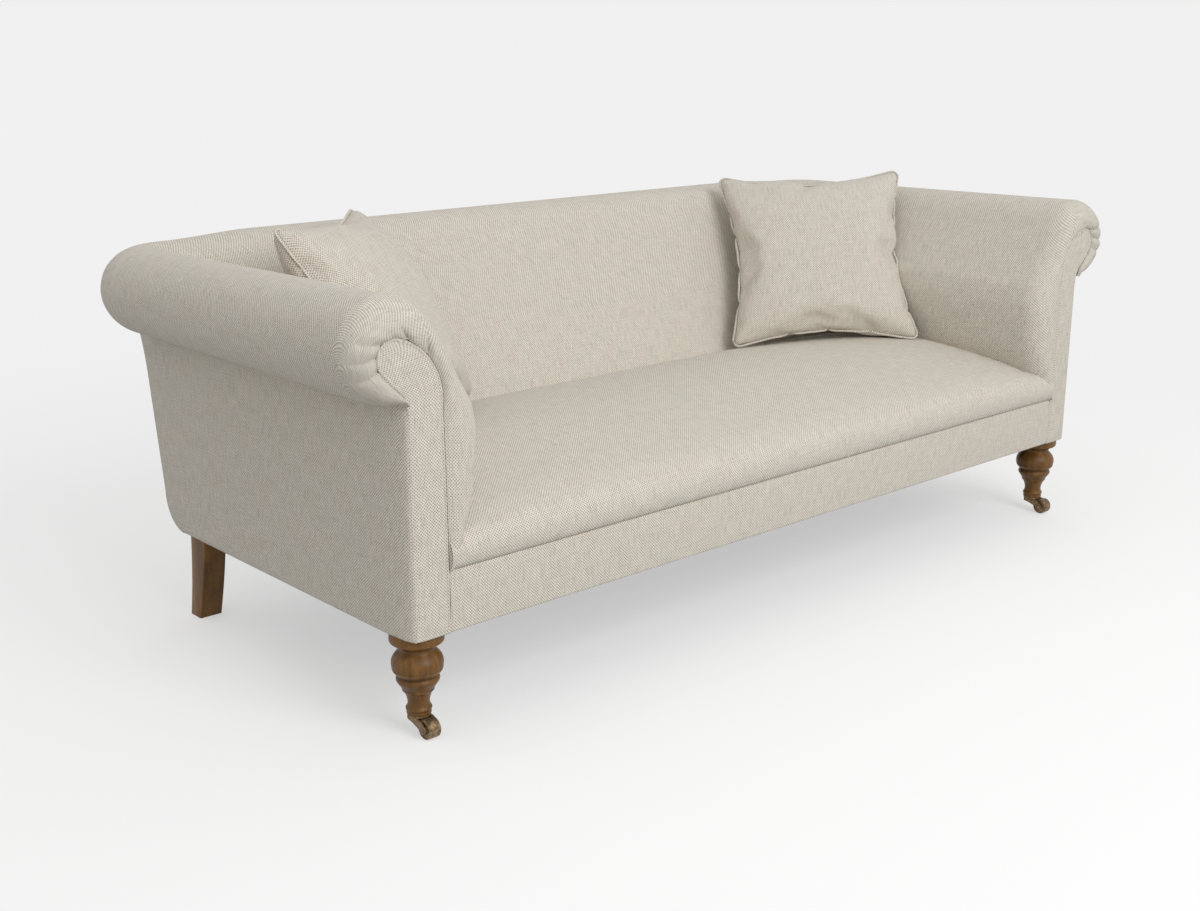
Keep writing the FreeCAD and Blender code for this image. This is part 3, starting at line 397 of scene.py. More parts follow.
LINEN = linen("linen_weave")
# The piping's linen: cut on the bias and lightened 8% as a painted highlight along the cord
BIAS_PAINTED_HIGHLIGHT = linen("linen_bias_painted_highlight", 45.0, 1.08)
TURNED = timber("turned_walnut", (0.095, 0.042, 0.009), (0.203, 0.096, 0.022), (1.0, 1.0, 0.10), 90.0, 0.4, 0.25)
SABRE = timber("sabre_walnut", (0.10, 0.044, 0.010), (0.22, 0.108, 0.028), (1.0, 1.0, 0.07), 70.0, 0.42, 0.2)
BEECH = timber("frame_beech", (0.42, 0.27, 0.14), (0.66, 0.48, 0.29), (0.06, 1.0, 1.0), 40.0, 0.6)
BRASS = metal("aged_brass", (0.12, 0.078, 0.042), (0.33, 0.23, 0.13), 0.5)
STEEL = metal("bolt_steel", (0.32, 0.32, 0.32), (0.6, 0.6, 0.6), 0.4)
JUTE = plain_weave("jute_weave", (0.26, 0.17, 0.085), (0.55, 0.40, 0.23), 3.0 * MM)
CAMBRIC = plain_weave("black_cloth", (0.006, 0.006, 0.007), (0.03, 0.03, 0.032), 1.2 * MM)


def finish(piece, body, material, slot, *nodes):
    """Gives a piece its material, and lets it ride and stand for its nodes. The slot is not used."""
    piece.data.materials.clear()
    piece.data.materials.append(material)
    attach(piece, body)
    if nodes:
        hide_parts(*nodes)
    return piece


# ---- arms: inside face, roll, rounded front with pleats, and the turn to the back


def tangent(point, centre, radius):
    """Where the line from a point touches the upper near side of a circle."""
    dx, dy = centre[0] - point[0], centre[1] - point[1]
    reach = math.hypot(dx, dy)
    angle = math.atan2(dx, dy) - math.asin(radius / reach)
    length = math.sqrt(reach * reach - radius * radius)
    return (point[0] + length * math.sin(angle), point[1] + length * math.cos(angle))


def roll_line(inside, centre, radius, outside, hidden):
    """A padded section: the inside face, the roll over its top, and the underside up to the outside panel."""
    touch = tangent(inside[-1], centre, radius)
    start = math.atan2(touch[1] - centre[1], touch[0] - centre[0])
    drop = math.sqrt(radius**2 - (centre[0] - outside) ** 2)
    end = math.atan2(-drop, outside - centre[0])
    upper, lower = (
        [(centre[0] + radius * math.cos(a), centre[1] + radius * math.sin(a)) for a in np.linspace(*ends, 60)]
        for ends in ((start, 0), (0, end))
    )
    face = np.vstack([smooth_line(inside, 60), [touch]])
    tuck = [(outside, centre[1] - drop), (hidden, centre[1] - drop)]
    return stitch(((face, FACE_ROWS), (upper, ROLL_ROWS), (lower, UNDER_ROWS), (tuck, TUCK_ROWS)))


ARM_INSIDE = (
    (873.0, 289.5), (856.0, 304.0), (834.0, 340.0), (812.0, 395.0),
    (801.0, 450.0), (796.0, 515.0), (804.0, 560.0),
)
ARM_FRONT = roll_line(ARM_INSIDE, (ROLL_SIDE - ROLL_FRONT, UNDERSIDE + ROLL_FRONT), ROLL_FRONT, SIDE, ARM_OUT)
ARM_REAR = roll_line(ARM_INSIDE, (ROLL_SIDE - ROLL_REAR, UNDERSIDE + ROLL_REAR), ROLL_REAR, SIDE, ARM_OUT)

# The facing's outline goes up its inside edge, round the scrolled head and down to the neck. ARM_SEAM follows it
# with the rows of a padded section.
HEAD_INSIDE = arc((HALF + 3.0, 560.0), (904.5, 649.0), (964.0, 684.0), 60)
HEAD_OUTSIDE = arc((964.0, 684.0), (998.0, 660.0), (990.0, 628.0), 50)
NECK = smooth_line(((990.0, 628.0), (972.0, 608.0), (956.0, 593.0), (949.0, 580.0), (ARM_OUT, 562.0)), 30)
UPRIGHT = np.array(((HALF, 289.5), (HALF + 1.5, 473.0), (HALF + 3.0, 560.0)))
ARM_SEAM = stitch(
    (
        (np.vstack([UPRIGHT, HEAD_INSIDE[1:28]]), FACE_ROWS),
        (np.vstack([HEAD_INSIDE[27:], HEAD_OUTSIDE[1:27]]), ROLL_ROWS),
        (np.vstack([HEAD_OUTSIDE[26:], NECK[1:20]]), UNDER_ROWS),
        (((951.0, 583.0), (ARM_OUT, 574.0)), TUCK_ROWS),
    )
)

# For each pleat the x and z where it leaves the seam, and its reach
PLEATS = (
    (992.0, 677.0, 58.0), (999.0, 657.0, 62.0), (998.0, 635.0, 54.0),
    (905.0, 651.0, 52.0), (940.0, 681.0, 34.0),
)
PLEAT_DEPTH, PLEAT_PUFF = 7.5, 2.6
ROUNDING = 50.0  # how far the front of an arm is rounded
PROUD = 8.0  # how far it stands before its facing


def back_inside(z):
    """The depth of the inside back at a height."""
    return np.interp(z, BACK_SECTION[:FACE_ROWS, 1], BACK_SECTION[:FACE_ROWS, 0])


def push(places, offsets):
    """Moves a grid's places along its own normals."""
    rows = np.gradient(places, axis=0)
    columns = np.gradient(places, axis=1)
    normals = np.cross(rows, columns)
    normals /= np.maximum(np.linalg.norm(normals, axis=2, keepdims=True), 1e-9)
    return places + normals * offsets[..., None]


def pleats(places):
    """How deep the folds round an arm's front lie at each place of its cover."""
    down, back = lengths(places)
    depths = np.zeros(places.shape[:2])
    for x, z, reach in PLEATS:
        row = int(np.argmin(np.hypot(ARM_SEAM[:, 0] - x, ARM_SEAM[:, 1] - z)))
        aside = down - down[row]
        fade = np.clip(1 - back / reach, 0, 1) ** 0.8 * np.clip(back / 3.0, 0.35, 1)
        fold = np.where(aside < 0, np.exp(aside / 8.0), np.exp(-aside / 3.6))
        puff = np.exp(-(((aside + 16.0) / 10.0) ** 2))
        depths += fade * (PLEAT_DEPTH * fold - PLEAT_PUFF * puff)
    return depths


def arm_skin(name, side):
    """One arm's cover, from its facing seam to the mitre at the back."""
    first = -math.acos((ROUNDING - PROUD) / ROUNDING)
    low = math.sin(first)
    columns = []
    for turn in np.linspace(first, math.pi / 2, 24):
        share = (math.sin(turn) - low) / (1 - low)
        line = ARM_SEAM + (ARM_FRONT - ARM_SEAM) * share
        depth = ROUNDING - PROUD - ROUNDING * math.cos(turn)
        columns.append(np.stack([line[:, 0], np.full(len(line), depth), line[:, 1]], 1))
    start = ROUNDING - PROUD
    straight = np.minimum(CORNER_D, ARM_REAR[:, 0] - MITRE)
    swing = np.maximum(ARM_REAR[:, 0] - CORNER_X, 0.0)
    # The inside face goes on until it is behind the back's cover
    short = np.clip(back_inside(ARM_REAR[:, 1]) + 3.0 - straight, 0.0, 30.0)
    short *= np.clip((CORNER_D - straight) / 12.0, 0, 1)
    straight = straight + np.where(np.arange(len(straight)) < FACE_ROWS, short, 0.0)
    length = straight - start + swing * math.pi / 4
    for share in np.linspace(0, 1, 46)[1:]:
        along = start + length * share
        depth = np.minimum(along, straight)
        beyond = np.maximum(along - straight, 0.0)
        angle = np.where(swing > 1e-6, beyond / np.maximum(swing, 1e-6), 0.0)
        mix = np.clip(depth / CORNER_D, 0, 1)[:, None]
        line = ARM_FRONT + (ARM_REAR - ARM_FRONT) * mix
        x = np.where(swing > 1e-6, CORNER_X + (line[:, 0] - CORNER_X) * np.cos(angle), line[:, 0])
        d = depth + np.where(swing > 1e-6, (line[:, 0] - CORNER_X) * np.sin(angle), 0.0)
        columns.append(np.stack([x, d, line[:, 1]], 1))
    places = np.stack(columns, 1)
    places = push(places, -pleats(places))
    places[..., 0] *= side
    return grid(name, in_row(places), flip=side > 0)


# ---- back

BACK_LAP = 12.0  # how far the back's cover reaches behind an arm's
BACK_BLEND = 700.0  # where its section starts to change to the arm roll's
BACK_INSIDE = ((596.0, 280.0), (613.0, 332.0), (629.0, 366.0), (664.0, 432.0), (706.0, 512.0), (746.0, 590.0))
BACK_SECTION = roll_line(BACK_INSIDE, BACK_ROLL[:2], BACK_ROLL[2], 892.0, 882.0)
BACK_END = roll_line(BACK_INSIDE, (BACK_ROLL[0], UNDERSIDE + ROLL_REAR), ROLL_REAR, 892.0, 882.0)


def back_skin(name):
    """The back's cover, between the two mitres."""
    depth = BACK_SECTION[:, 0]
    arm_x = np.interp(BACK_SECTION[:, 1], ARM_REAR[:FACE_ROWS, 1], ARM_REAR[:FACE_ROWS, 0])
    inner = depth < CORNER_D
    inner &= np.arange(len(depth)) < FACE_ROWS + ROLL_ROWS
    reach = np.maximum(arm_x + BACK_LAP - (depth + MITRE), 0.0) * np.clip((CORNER_D - depth) / 30.0, 0, 1)
    straight = np.where(inner, depth + MITRE + reach, CORNER_X)
    swing = np.where(inner, 0.0, np.maximum(depth - CORNER_D, 0.0))
    length = straight + swing * math.pi / 4
    columns = []
    for share in np.linspace(-1, 1, 121):
        along = length * abs(share)
        x = np.minimum(along, straight)
        beyond = np.maximum(along - straight, 0.0)
        angle = np.where(swing > 1e-6, beyond / np.maximum(swing, 1e-6), 0.0)
        mix = np.clip((x - BACK_BLEND) / (CORNER_X - BACK_BLEND), 0, 1)[:, None]
        line = BACK_SECTION + (BACK_END - BACK_SECTION) * (mix * mix * (3 - 2 * mix))
        d = np.where(swing > 1e-6, CORNER_D + (line[:, 0] - CORNER_D) * np.cos(angle), line[:, 0])
        x = x + np.where(swing > 1e-6, (line[:, 0] - CORNER_D) * np.sin(angle), 0.0)
        columns.append(np.stack([math.copysign(1, share) * x, d, line[:, 1]], 1))
    return grid(name, in_row(np.stack(columns, 1)))


# ---- seat and front border

SEAT_CROWN, SEAT_ARM_TUCK, SEAT_BACK_TUCK = 13.0, 7.0, 6.0
SEAT_LINE = smooth_line(
    (
        (6.0, 290.3), (-2.0, 292.0), (-8.0, 303.0), (-9.5, 318.0), (-5.0, 334.0), (8.0, 347.5),
        (50.0, 362.0), (91.0, 371.0), (147.0, 380.0), (205.0, 388.0), (262.0, 394.0), (320.0, 397.0),
        (400.0, 395.0), (480.0, 388.0), (560.0, 376.0), (640.0, 362.0), (668.0, 354.0),
    ),
    130,
)


def seat_skin(name):
    """The seat's cover: a rolled lip over the border, a crown, and tucks where it meets arms and back."""
    columns = []
    for share in np.linspace(-1, 1, 141):
        x = (HALF - 0.6) * share
        d, z = SEAT_LINE[:, 0], SEAT_LINE[:, 1]
        lift = SEAT_CROWN * (1 - abs(x / HALF) ** 4) * np.clip((z - 300.0) / 60.0, 0, 1)
        arm_x = np.interp(z, ARM_FRONT[:FACE_ROWS, 1], ARM_FRONT[:FACE_ROWS, 0])
        near = np.exp(-np.abs(arm_x - abs(x)) / 16.0) * np.clip((d - 10.0) / 40.0, 0, 1)
        rear = np.exp(-np.abs(back_inside(z) - d) / 16.0)
        height = z + lift - SEAT_ARM_TUCK * near - SEAT_BACK_TUCK * rear
        columns.append(np.stack([np.full(len(d), x), d, height], 1))
    return grid(name, in_row(np.stack(columns, 1)))


def border_skin(name):
    """The front border, turned under at the base and into the seam at its top."""
    line = smooth_line(
        (
            (18.0, BASE + 1.0), (6.0, BASE + 0.3), (1.0, BASE + 1.6), (0.0, BASE + 6.0),
            (-1.2, 215.0), (-1.6, 240.0), (-1.0, 268.0),
            (0.0, SEAM - 5.0), (1.2, SEAM - 2.0), (5.0, SEAM - 0.5), (10.0, SEAM),
        ),
        60,
    )
    columns = []
    ends = np.array([0.0, 1.0, 2.2, 4.0, 8.0])
    for x in np.concatenate([-HALF + ends, np.linspace(-HALF + 24, HALF - 24, 90), HALF - ends[::-1]]):
        groove = 1.4 * math.exp(-(((HALF - abs(x)) / 1.4) ** 2))
        columns.append(np.stack([np.full(len(line), x), line[:, 0] + groove, line[:, 1]], 1))
    return grid(name, in_row(np.stack(columns, 1)))


# ---- facings


def facing(name, side):
    """An arm's front panel, with the raised double seam along its inside edge and round its head."""
    # Rows near the base and columns near both edges are close together, where the seam's ridge and groove are
    steps = np.array([0.0, 0.9, 1.9, 3.2, 4.6, 5.5, 6.1, 6.8, 8.2, 11.0, 15.0, 21.0])
    low = BASE + steps
    inner_low = np.stack([np.full(len(low), HALF), low], 1)
    outer_low = np.stack([np.full(len(low), ARM_OUT), low], 1)
    inside = (inner_low[-1], (HALF, 280.0), (HALF + 1.5, 473.0), (HALF + 3.0, 560.0))
    outside = (outer_low[-1], (ARM_OUT, 562.0))
    head = np.vstack([NECK[::-1], HEAD_OUTSIDE[::-1][1:]])
    inner = np.vstack([inner_low, stitch(((inside, 80), (HEAD_INSIDE, 90)))[1:]])
    outer = np.vstack([outer_low, stitch(((outside, 80), (head, 90)))[1:]])
    share = np.concatenate([steps / FACING, [0.4, 0.5, 0.6], 1 - steps[::-1] / FACING])
    plan = inner[:, None] + (outer - inner)[:, None] * share[None, :, None]
    rim = resample(np.vstack([inner, outer[::-1], inner[:1]]), 1500)
    gap = np.min(np.linalg.norm(plan[:, :, None] - rim[None, None], axis=3), axis=2)
    heights = np.interp(gap, (0.0, 0.9, 1.9, 3.2, 4.6, 8.2, 18.0), (-1.2, -0.1, 0.5, 0.8, 0.8, 1.0, 1.8))
    ridge = np.interp(gap, (1.9, 3.2, 4.6, 5.5, 6.1, 6.8, 8.2), (0.0, 0.5, 0.4, -0.7, -1.2, -0.6, 0.0))
    x, z = plan[..., 0], plan[..., 1]
    by_inside = np.clip((918.0 - x) / 14.0, 0, 1)
    by_head = np.clip((z - 600.0) / 30.0, 0, 1)
    ridge *= np.maximum(by_inside, by_head) * np.clip((z - BASE - 4.0) / 6.0, 0, 1)
    fall = 3.0 * np.clip((x - 927.0) / 18.0, 0, 1) ** 2 * np.clip((600.0 - z) / 60.0, 0, 1)
    return grid(name, in_row(np.stack([side * x, fall - heights - ridge, z], 2)), flip=side < 0)


# ---- outside panels

REAR_LINE = np.vstack(
    [
        arc((768.0, BASE), (806.0, 200.0), (828.0, 255.0), 24),
        arc((828.0, 255.0), (843.0, 350.0), (862.0, 470.0), 24)[1:],
        arc((862.0, 470.0), (874.0, 530.0), (892.0, 580.0), 16)[1:],
        [(900.0, 606.0)],
    ]
)


def rear_depth(z):
    """The depth of the outside back at a height."""
    return np.interp(z, REAR_LINE[:, 1], REAR_LINE[:, 0])


def belly(z):
    """How full an outside panel is at a height, from none at its ends to 1."""
    return math.sin(math.pi * min(max((z - BASE) / (UNDERSIDE - BASE), 0), 1))


def outside_arm(name, side):
    """An outside arm panel: soft round the front corner, sharp at the rear, turned under at the base."""
    turned = [BASE + 1.5, BASE + 0.4, BASE + 0.2, BASE + 1.5, BASE + 4.0]
    heights = np.concatenate([turned, np.linspace(BASE + 10.0, 592.0, 62)])
    tucks = [14.0, 5.0, 1.6, 0.4, 0.0] + [0.0] * 62
    rounded = 80.0
    rows = []
    for z, tuck in zip(heights, tucks):
        rear = rear_depth(max(z, BASE + 0.5))
        row = [(ARM_OUT - 4.0, 9.0), (ARM_OUT - 0.8, 5.4)]
        for s in np.linspace(0, 1, 18):
            bends = ((1 - s) ** 3, 3 * s * (1 - s) ** 2, 3 * s * s * (1 - s), s**3)
            x = np.dot(bends, (ARM_OUT + 0.4, ARM_OUT + 5.2, SIDE - 0.6, SIDE + 0.6))
            row.append((x, np.dot(bends, (3.0, 6.5, 26.0, rounded))))
        for share in np.linspace(0, 1, 44)[1:-1]:
            fullness = 2.4 * belly(z) * math.sin(math.pi * share) ** 0.8
            row.append((SIDE + 0.6 * (1 - share) + fullness, rounded + (rear - rounded - 1.5) * share))
        row += [(SIDE, rear - 1.2), (SIDE - 0.5, rear - 0.2), (SIDE - 2.5, rear + 0.1), (SIDE - 12.0, rear)]
        rows.append([spot(side * (x - tuck), d + min(tuck, 3.0) * (1 if d < 20 else 0), z) for x, d in row])
    return grid(name, np.array(rows), flip=side < 0)


def outside_back(name):
    """The outside back, from the base to under the roll."""
    line = np.vstack([[(752.0, BASE + 1.0), (762.0, BASE + 0.2)], resample(REAR_LINE, 84)])
    ends = np.array([0.6, 1.6, 4.0])
    across = np.concatenate([-SIDE + ends, np.linspace(-SIDE + 14, SIDE - 14, 90), SIDE - ends[::-1]])
    rows = []
    for d, z in line:
        row = []
        for x in across:
            edge = 1 - abs(x) / SIDE
            soften = 1.2 * math.exp(-edge * SIDE / 1.5)
            row.append(spot(x, d + 3.0 * belly(z) * min(1.0, edge * 12) - soften, z))
        rows.append(row)
    return grid(name, np.array(rows), flip=True)


arm_pieces = {}
for name, side in SIDES:
    arm = arm_skin("arm_cover_" + name, side)
    arm_pieces[name] = finish(arm, "sofa", LINEN, "linen", "arm_pad_" + name)
    finish(facing("facing_cover_" + name, side), "sofa", LINEN, "linen", "arm_facing_" + name)
    finish(outside_arm("outside_arm_cover_" + name, side), "sofa", LINEN, "linen", "outside_arm_" + name)
back = finish(back_skin("back_cover"), "sofa", LINEN, "linen", "back_pad")
seat = finish(seat_skin("seat_cover"), "sofa", LINEN, "linen", "seat_pad")
finish(border_skin("border_cover"), "sofa", LINEN, "linen", "front_border")
finish(outside_back("outside_back_cover"), "sofa", LINEN, "linen", "outside_back")

# ---- legs and castors

# Radius and height of a turned leg: socket ring, waist, cup, bead, bulb with its scored line, neck and rim
LEG_PROFILE = (
    (18.5, 36.2), (20.4, 36.6), (21.0, 38.0), (21.0, 43.0), (22.0, 44.6), (22.3, 46.6), (21.2, 49.0),
    (19.7, 51.0), (18.9, 54.0), (18.6, 58.0), (19.2, 63.0), (20.9, 69.0), (23.2, 74.5), (25.2, 77.2),
    (26.9, 78.5), (27.4, 80.0), (27.3, 81.8), (29.0, 85.2), (32.4, 90.4), (35.4, 94.8), (36.7, 98.2),
    (36.3, 101.2), (34.4, 103.8), (33.5, 105.0), (34.2, 106.2), (38.0, 109.8), (41.3, 113.8), (42.6, 117.0),
    (42.8, 118.2), (41.3, 118.9), (42.9, 119.7), (43.6, 124.0), (43.7, 129.0), (42.8, 134.0), (40.2, 139.4),
    (36.2, 144.6), (32.2, 148.8), (30.5, 151.2), (30.2, 153.6), (31.2, 156.6), (34.6, 159.8), (40.0, 162.6),
    (44.0, 164.8), (45.8, 167.6), (46.0, 171.0), (45.9, 174.6), (45.0, 178.4), (43.8, 181.9),
)
# A rear leg's depths at its foot, half way up and at its top
SABRE_FRONT, SABRE_REAR = (756.0, 731.0, 714.0), (796.0, 780.5, 773.0)


def turned_leg(name, x, d):
    """A turned leg with its bead, bulb, scored line and rim."""
    around = 72
    turns = [2 * math.pi * k / around for k in range(around)]
    rings = []
    for radius, z in smooth_line(LEG_PROFILE, 210):
        rings.append([spot(x + radius * math.cos(turn), d + radius * math.sin(turn), z) for turn in turns])
    return ringed(name, rings)


def swept(foot, middle, top, share):
    """A depth at a share of a rear leg's height, on the parabola through three."""
    return foot + (middle - foot) * 2 * share * (2 - 2 * share) + (top - foot) * share * (2 * share - 1)


def sabre_leg(name, low, high):
    """A rear leg that sweeps back to its foot, square in section with eased edges."""
    x0, x1 = low.x / MM, high.x / MM
    ease = 3.0
    rings = []
    for z in np.linspace(0.0, BASE - 0.1, 26):
        front, rear = swept(*SABRE_FRONT, z / BASE), swept(*SABRE_REAR, z / BASE)
        ring = []
        for cx, cd, start in ((x1, rear, 0), (x0, rear, 90), (x0, front, 180), (x1, front, 270)):
            ox = cx - ease if cx == x1 else cx + ease
            od = cd - ease if cd == rear else cd + ease
            for step in range(4):
                angle = math.radians(start + step * 30)
                ring.append(spot(ox + ease * math.cos(angle), od + ease * math.sin(angle), z))
        rings.append(ring)
    piece = ringed(name, rings)
    sharpen(piece, 40.0)
    return piece


for name, side in SIDES:
    low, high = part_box("front_leg_" + name)
    middle = (low + high) / 2
    leg = turned_leg("turned_leg_" + name, middle.x / MM, (middle.y - FACE) / MM)
    finish(leg, "sofa", TURNED, "turned_wood", "front_leg_" + name)
    low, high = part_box("rear_leg_" + name)
    finish(sabre_leg("sabre_leg_" + name, low, high), "sofa", SABRE, "sabre_wood", "rear_leg_" + name)

# The frame, the castors, the bolts and the webbing show their CAD shapes
CAD_FINISHES = {
    "beech": BEECH, "antique_brass": BRASS, "bolt_steel": STEEL, "jute": JUTE, "black_cloth": CAMBRIC,
}
for part in frame["record"]["subparts"]:
    if part["material_slot"] in CAD_FINISHES:
        node = frame["nodes"][part["node"]]
        node.data.materials.clear()
        node.data.materials.append(CAD_FINISHES[part["material_slot"]])
        if part["material_slot"] == "antique_brass":
            sharpen(node, 35.0)

# ---- loose cushions: two panels sewn round their edge and blown up by cloth simulation

CUSHION = 470.0  # from ear to ear
THICK = {"left": 184.0, "right": 158.0}
EAR = 17.0  # the radius of an ear
DRAW = 42.0  # how far the sides pull in
CUSHION_SHIFT = {"left": (27.0, -24.0, 9.0), "right": (5.0, -8.0, 0.0)}  # from the place of the CAD cushion
YAW, LEAN, TIP = 40.8, 32.5, 2.5  # degrees: out of the corner, back, and on edge
PANEL_POINTS = 57
FILL_STEPS = 30
PIPING = 2.7 * MM


def sewn_side():
    """One drawn-in side of a cushion from ear tip to ear tip, along the bottom."""
    half = CUSHION / 2
    radius = (half * half + DRAW * DRAW) / (2 * DRAW)
    centre = radius + half - DRAW
    ear_at = (centre - math.sqrt(2 * (radius + EAR) ** 2 - centre * centre)) / 2
    lean = math.atan2(ear_at, centre - ear_at)
    ear = [
        (-ear_at + EAR * math.cos(a), -ear_at + EAR * math.sin(a))
        for a in np.linspace(math.radians(225), math.radians(270) + lean, 12)
    ]
    side = [(radius * math.sin(a), -centre + radius * math.cos(a)) for a in np.linspace(-lean, lean, 40)]
    other = [(-x, z) for x, z in ear[::-1]]
    return resample(np.array(ear + side[1:-1] + other), PANEL_POINTS) * MM


def drawn_outline(places, index):
    """Moves a blown-up panel pair so that its seam follows the drawn-in outline with rounded ears."""
    n = PANEL_POINTS
    line = sewn_side()
    spots = np.full((n, n, 2), np.nan)
    for i in range(n):
        spots[i, 0] = line[i]
        spots[n - 1 - i, n - 1] = -line[i]
        spots[n - 1, i] = (-line[i, 1], line[i, 0])
        spots[0, n - 1 - i] = (line[i, 1], -line[i, 0])
    now = np.array([[places[index[-1, i, j]][[0, 2]] for j in range(n)] for i in range(n)])
    pull = np.zeros((n, n, 2))
    window = np.ones(9) / 9
    near = np.clip(1 - np.minimum(np.arange(n), np.arange(n)[::-1]) / 7.0, 0, 1)[:, None]
    for side in (np.s_[:, 0], np.s_[:, n - 1], np.s_[0, :], np.s_[n - 1, :]):
        exact = spots[side] - now[side]
        ends = np.vstack([np.repeat(exact[:1], 4, 0), exact, np.repeat(exact[-1:], 4, 0)])
        soft = np.stack([np.convolve(ends[:, axis], window, "valid") for axis in (0, 1)], 1)
        pull[side] = soft + (exact - soft) * near
    u = np.linspace(0, 1, n)[:, None, None]
    v = np.linspace(0, 1, n)[None, :, None]
    blend = (1 - v) * pull[:, :1] + v * pull[:, -1:] + (1 - u) * pull[:1] + u * pull[-1:]
    blend -= (1 - u) * (1 - v) * pull[0, 0] + u * (1 - v) * pull[-1, 0]
    blend -= (1 - u) * v * pull[0, -1] + u * v * pull[-1, -1]
    done = set()
    for (layer, i, j), here in index.items():
        if here not in done:
            done.add(here)
            places[here][[0, 2]] += blend[i, j]


def blow_up(piece):
    """Fills two sewn panels by cloth simulation and keeps the result in their mesh."""
    cloth = piece.modifiers.new("fill", "CLOTH")
    cloth.settings.quality = 7
    cloth.settings.mass = 0.25
    cloth.settings.tension_stiffness = 40
    cloth.settings.compression_stiffness = 40
    cloth.settings.shear_stiffness = 12
    cloth.settings.bending_stiffness = 0.6
    cloth.settings.air_damping = 3.0
    cloth.settings.use_pressure = True
    cloth.settings.uniform_pressure_force = 4.0
    cloth.settings.effector_weights.gravity = 0.0
    cloth.point_cache.frame_start = 1
    cloth.point_cache.frame_end = FILL_STEPS + 10
    scene = bpy.context.scene
    for step in range(FILL_STEPS):
        scene.frame_set(step + 1)
    shape = piece.evaluated_get(bpy.context.evaluated_depsgraph_get()).data
    places = np.zeros(len(shape.vertices) * 3)
    shape.vertices.foreach_get("co", places)
    piece.modifiers.remove(cloth)
    scene.frame_set(1)
    piece.data.vertices.foreach_set("co", places)


def pillow(name, thick, seed):
    """A filled cushion about its own middle, and the vertices along its seam."""
    n = PANEL_POINTS
    half = CUSHION * MM / 2
    index, vertices = {}, []
    noise.seed_set(seed)
    for layer in (-1, 1):
        for i in range(n):
            for j in range(n):
                rim = i in (0, n - 1) or j in (0, n - 1)
                if rim and layer == 1:
                    index[layer, i, j] = index[-1, i, j]
                    continue
                x, z = (2 * i / (n - 1) - 1), (2 * j / (n - 1) - 1)
                dome = (1 - x**4) * (1 - z**4)
                swing = noise.noise(Vector((x * 2.3, z * 2.3, seed + layer)))
                y = 0.0 if rim else layer * (0.010 + 0.030 * dome + 0.002 * swing)
                index[layer, i, j] = len(vertices)
                vertices.append((x * half, y, z * half))
    faces = []
    for layer in (-1, 1):
        for i in range(n - 1):
            for j in range(n - 1):
                a, b = index[layer, i, j], index[layer, i + 1, j]
                c, d = index[layer, i + 1, j + 1], index[layer, i, j + 1]
                faces.append((a, b, c, d) if layer < 0 else (a, d, c, b))
    piece = add_mesh(name, vertices, faces, [(x, z) for x, _, z in vertices])
    rim = [(i, 0) for i in range(n - 1)] + [(n - 1, j) for j in range(n - 1)]
    rim += [(i, n - 1) for i in range(n - 1, 0, -1)] + [(0, j) for j in range(n - 1, 0, -1)]
    rim = [index[-1, i, j] for i, j in rim]
    blow_up(piece)
    places = np.array([v.co for v in piece.data.vertices])
    places -= (places.max(0) + places.min(0)) / 2
    size = places.max(0) - places.min(0)
    places *= np.array([CUSHION * MM / size[0], thick * MM / size[1], CUSHION * MM / size[2]])
    drawn_outline(places, index)
    piece.data.vertices.foreach_set("co", places.ravel())
    return piece, rim


def keep_clear(places, surfaces, gap):
    """Moves places that lie within or too near the given surfaces out of them."""
    search, aside = 0.12, 0.03
    moved = []
    for place in places:
        here = Vector(place)
        for tree in surfaces:
            nearest, normal, _, _ = tree.find_nearest(here, search)
            if nearest is None:
                continue
            height = (here - nearest).dot(normal)
            if height < gap and (here - nearest - normal * height).length < aside:
                here = here + normal * (gap - height)
        moved.append(here)
    return moved


def surface_tree(piece):
    """A search tree of a cover's faces, in the row frame."""
    return BVHTree.FromPolygons(
        [v.co.copy() for v in piece.data.vertices], [tuple(f.vertices) for f in piece.data.polygons]
    )


for name, side in SIDES:
    surfaces = [surface_tree(seat), surface_tree(arm_pieces[name]), surface_tree(back)]
    low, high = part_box("cushion_piping_" + name)
    middle = (low + high) / 2 + Vector(CUSHION_SHIFT[name]) * MM
    where = (
        Matrix.Translation(middle)
        @ Matrix.Rotation(math.radians(-side * YAW), 4, "Z")
        @ Matrix.Rotation(math.radians(-LEAN), 4, "X")
        @ Matrix.Rotation(math.radians(-side * TIP), 4, "Y")
    )
    cushion, rim = pillow("cushion_cover_" + name, THICK[name], 3 + side)
    cushion.data.transform(where)
    cord = [cushion.data.vertices[i].co.copy() for i in rim]
    ease = cushion.modifiers.new("ease", "SMOOTH")
    ease.factor = 0.5
    ease.iterations = 3
    divide = cushion.modifiers.new("smooth", "SUBSURF")
    divide.levels = divide.render_levels = 1
    finer = bpy.data.meshes.new_from_object(cushion.evaluated_get(bpy.context.evaluated_depsgraph_get()))
    cushion.modifiers.clear()
    cushion.data = finer
    places = keep_clear([v.co for v in finer.vertices], surfaces, 1.0 * MM)
    for vertex, place in zip(finer.vertices, places):
        vertex.co = place
    finish(cushion, "loose_cushion_" + name, LINEN, "linen", "cushion_" + name)
    line = smooth_line(np.array(keep_clear(cord, surfaces, 3.6 * MM)), 520)[:-1]
    piping = loop_cord("piping_cord_" + name, line, PIPING)
    # The piping takes the lightened linen, a painted highlight along the cord
    finish(piping, "loose_cushion_" + name, BIAS_PAINTED_HIGHLIGHT, "linen", "cushion_piping_" + name)

# ---- floor, light and camera

BACKGROUND = (0.877, 0.877, 0.877)
SKY = 0.65  # the world's light
FLOOR_REACH = 14.0
FLOOR_NEAR, FLOOR_FAR = 1.6, 3.4  # where the floor turns into the background
FLOOR_GLOW = 0.475  # what the camera sees on top of the floor's own light

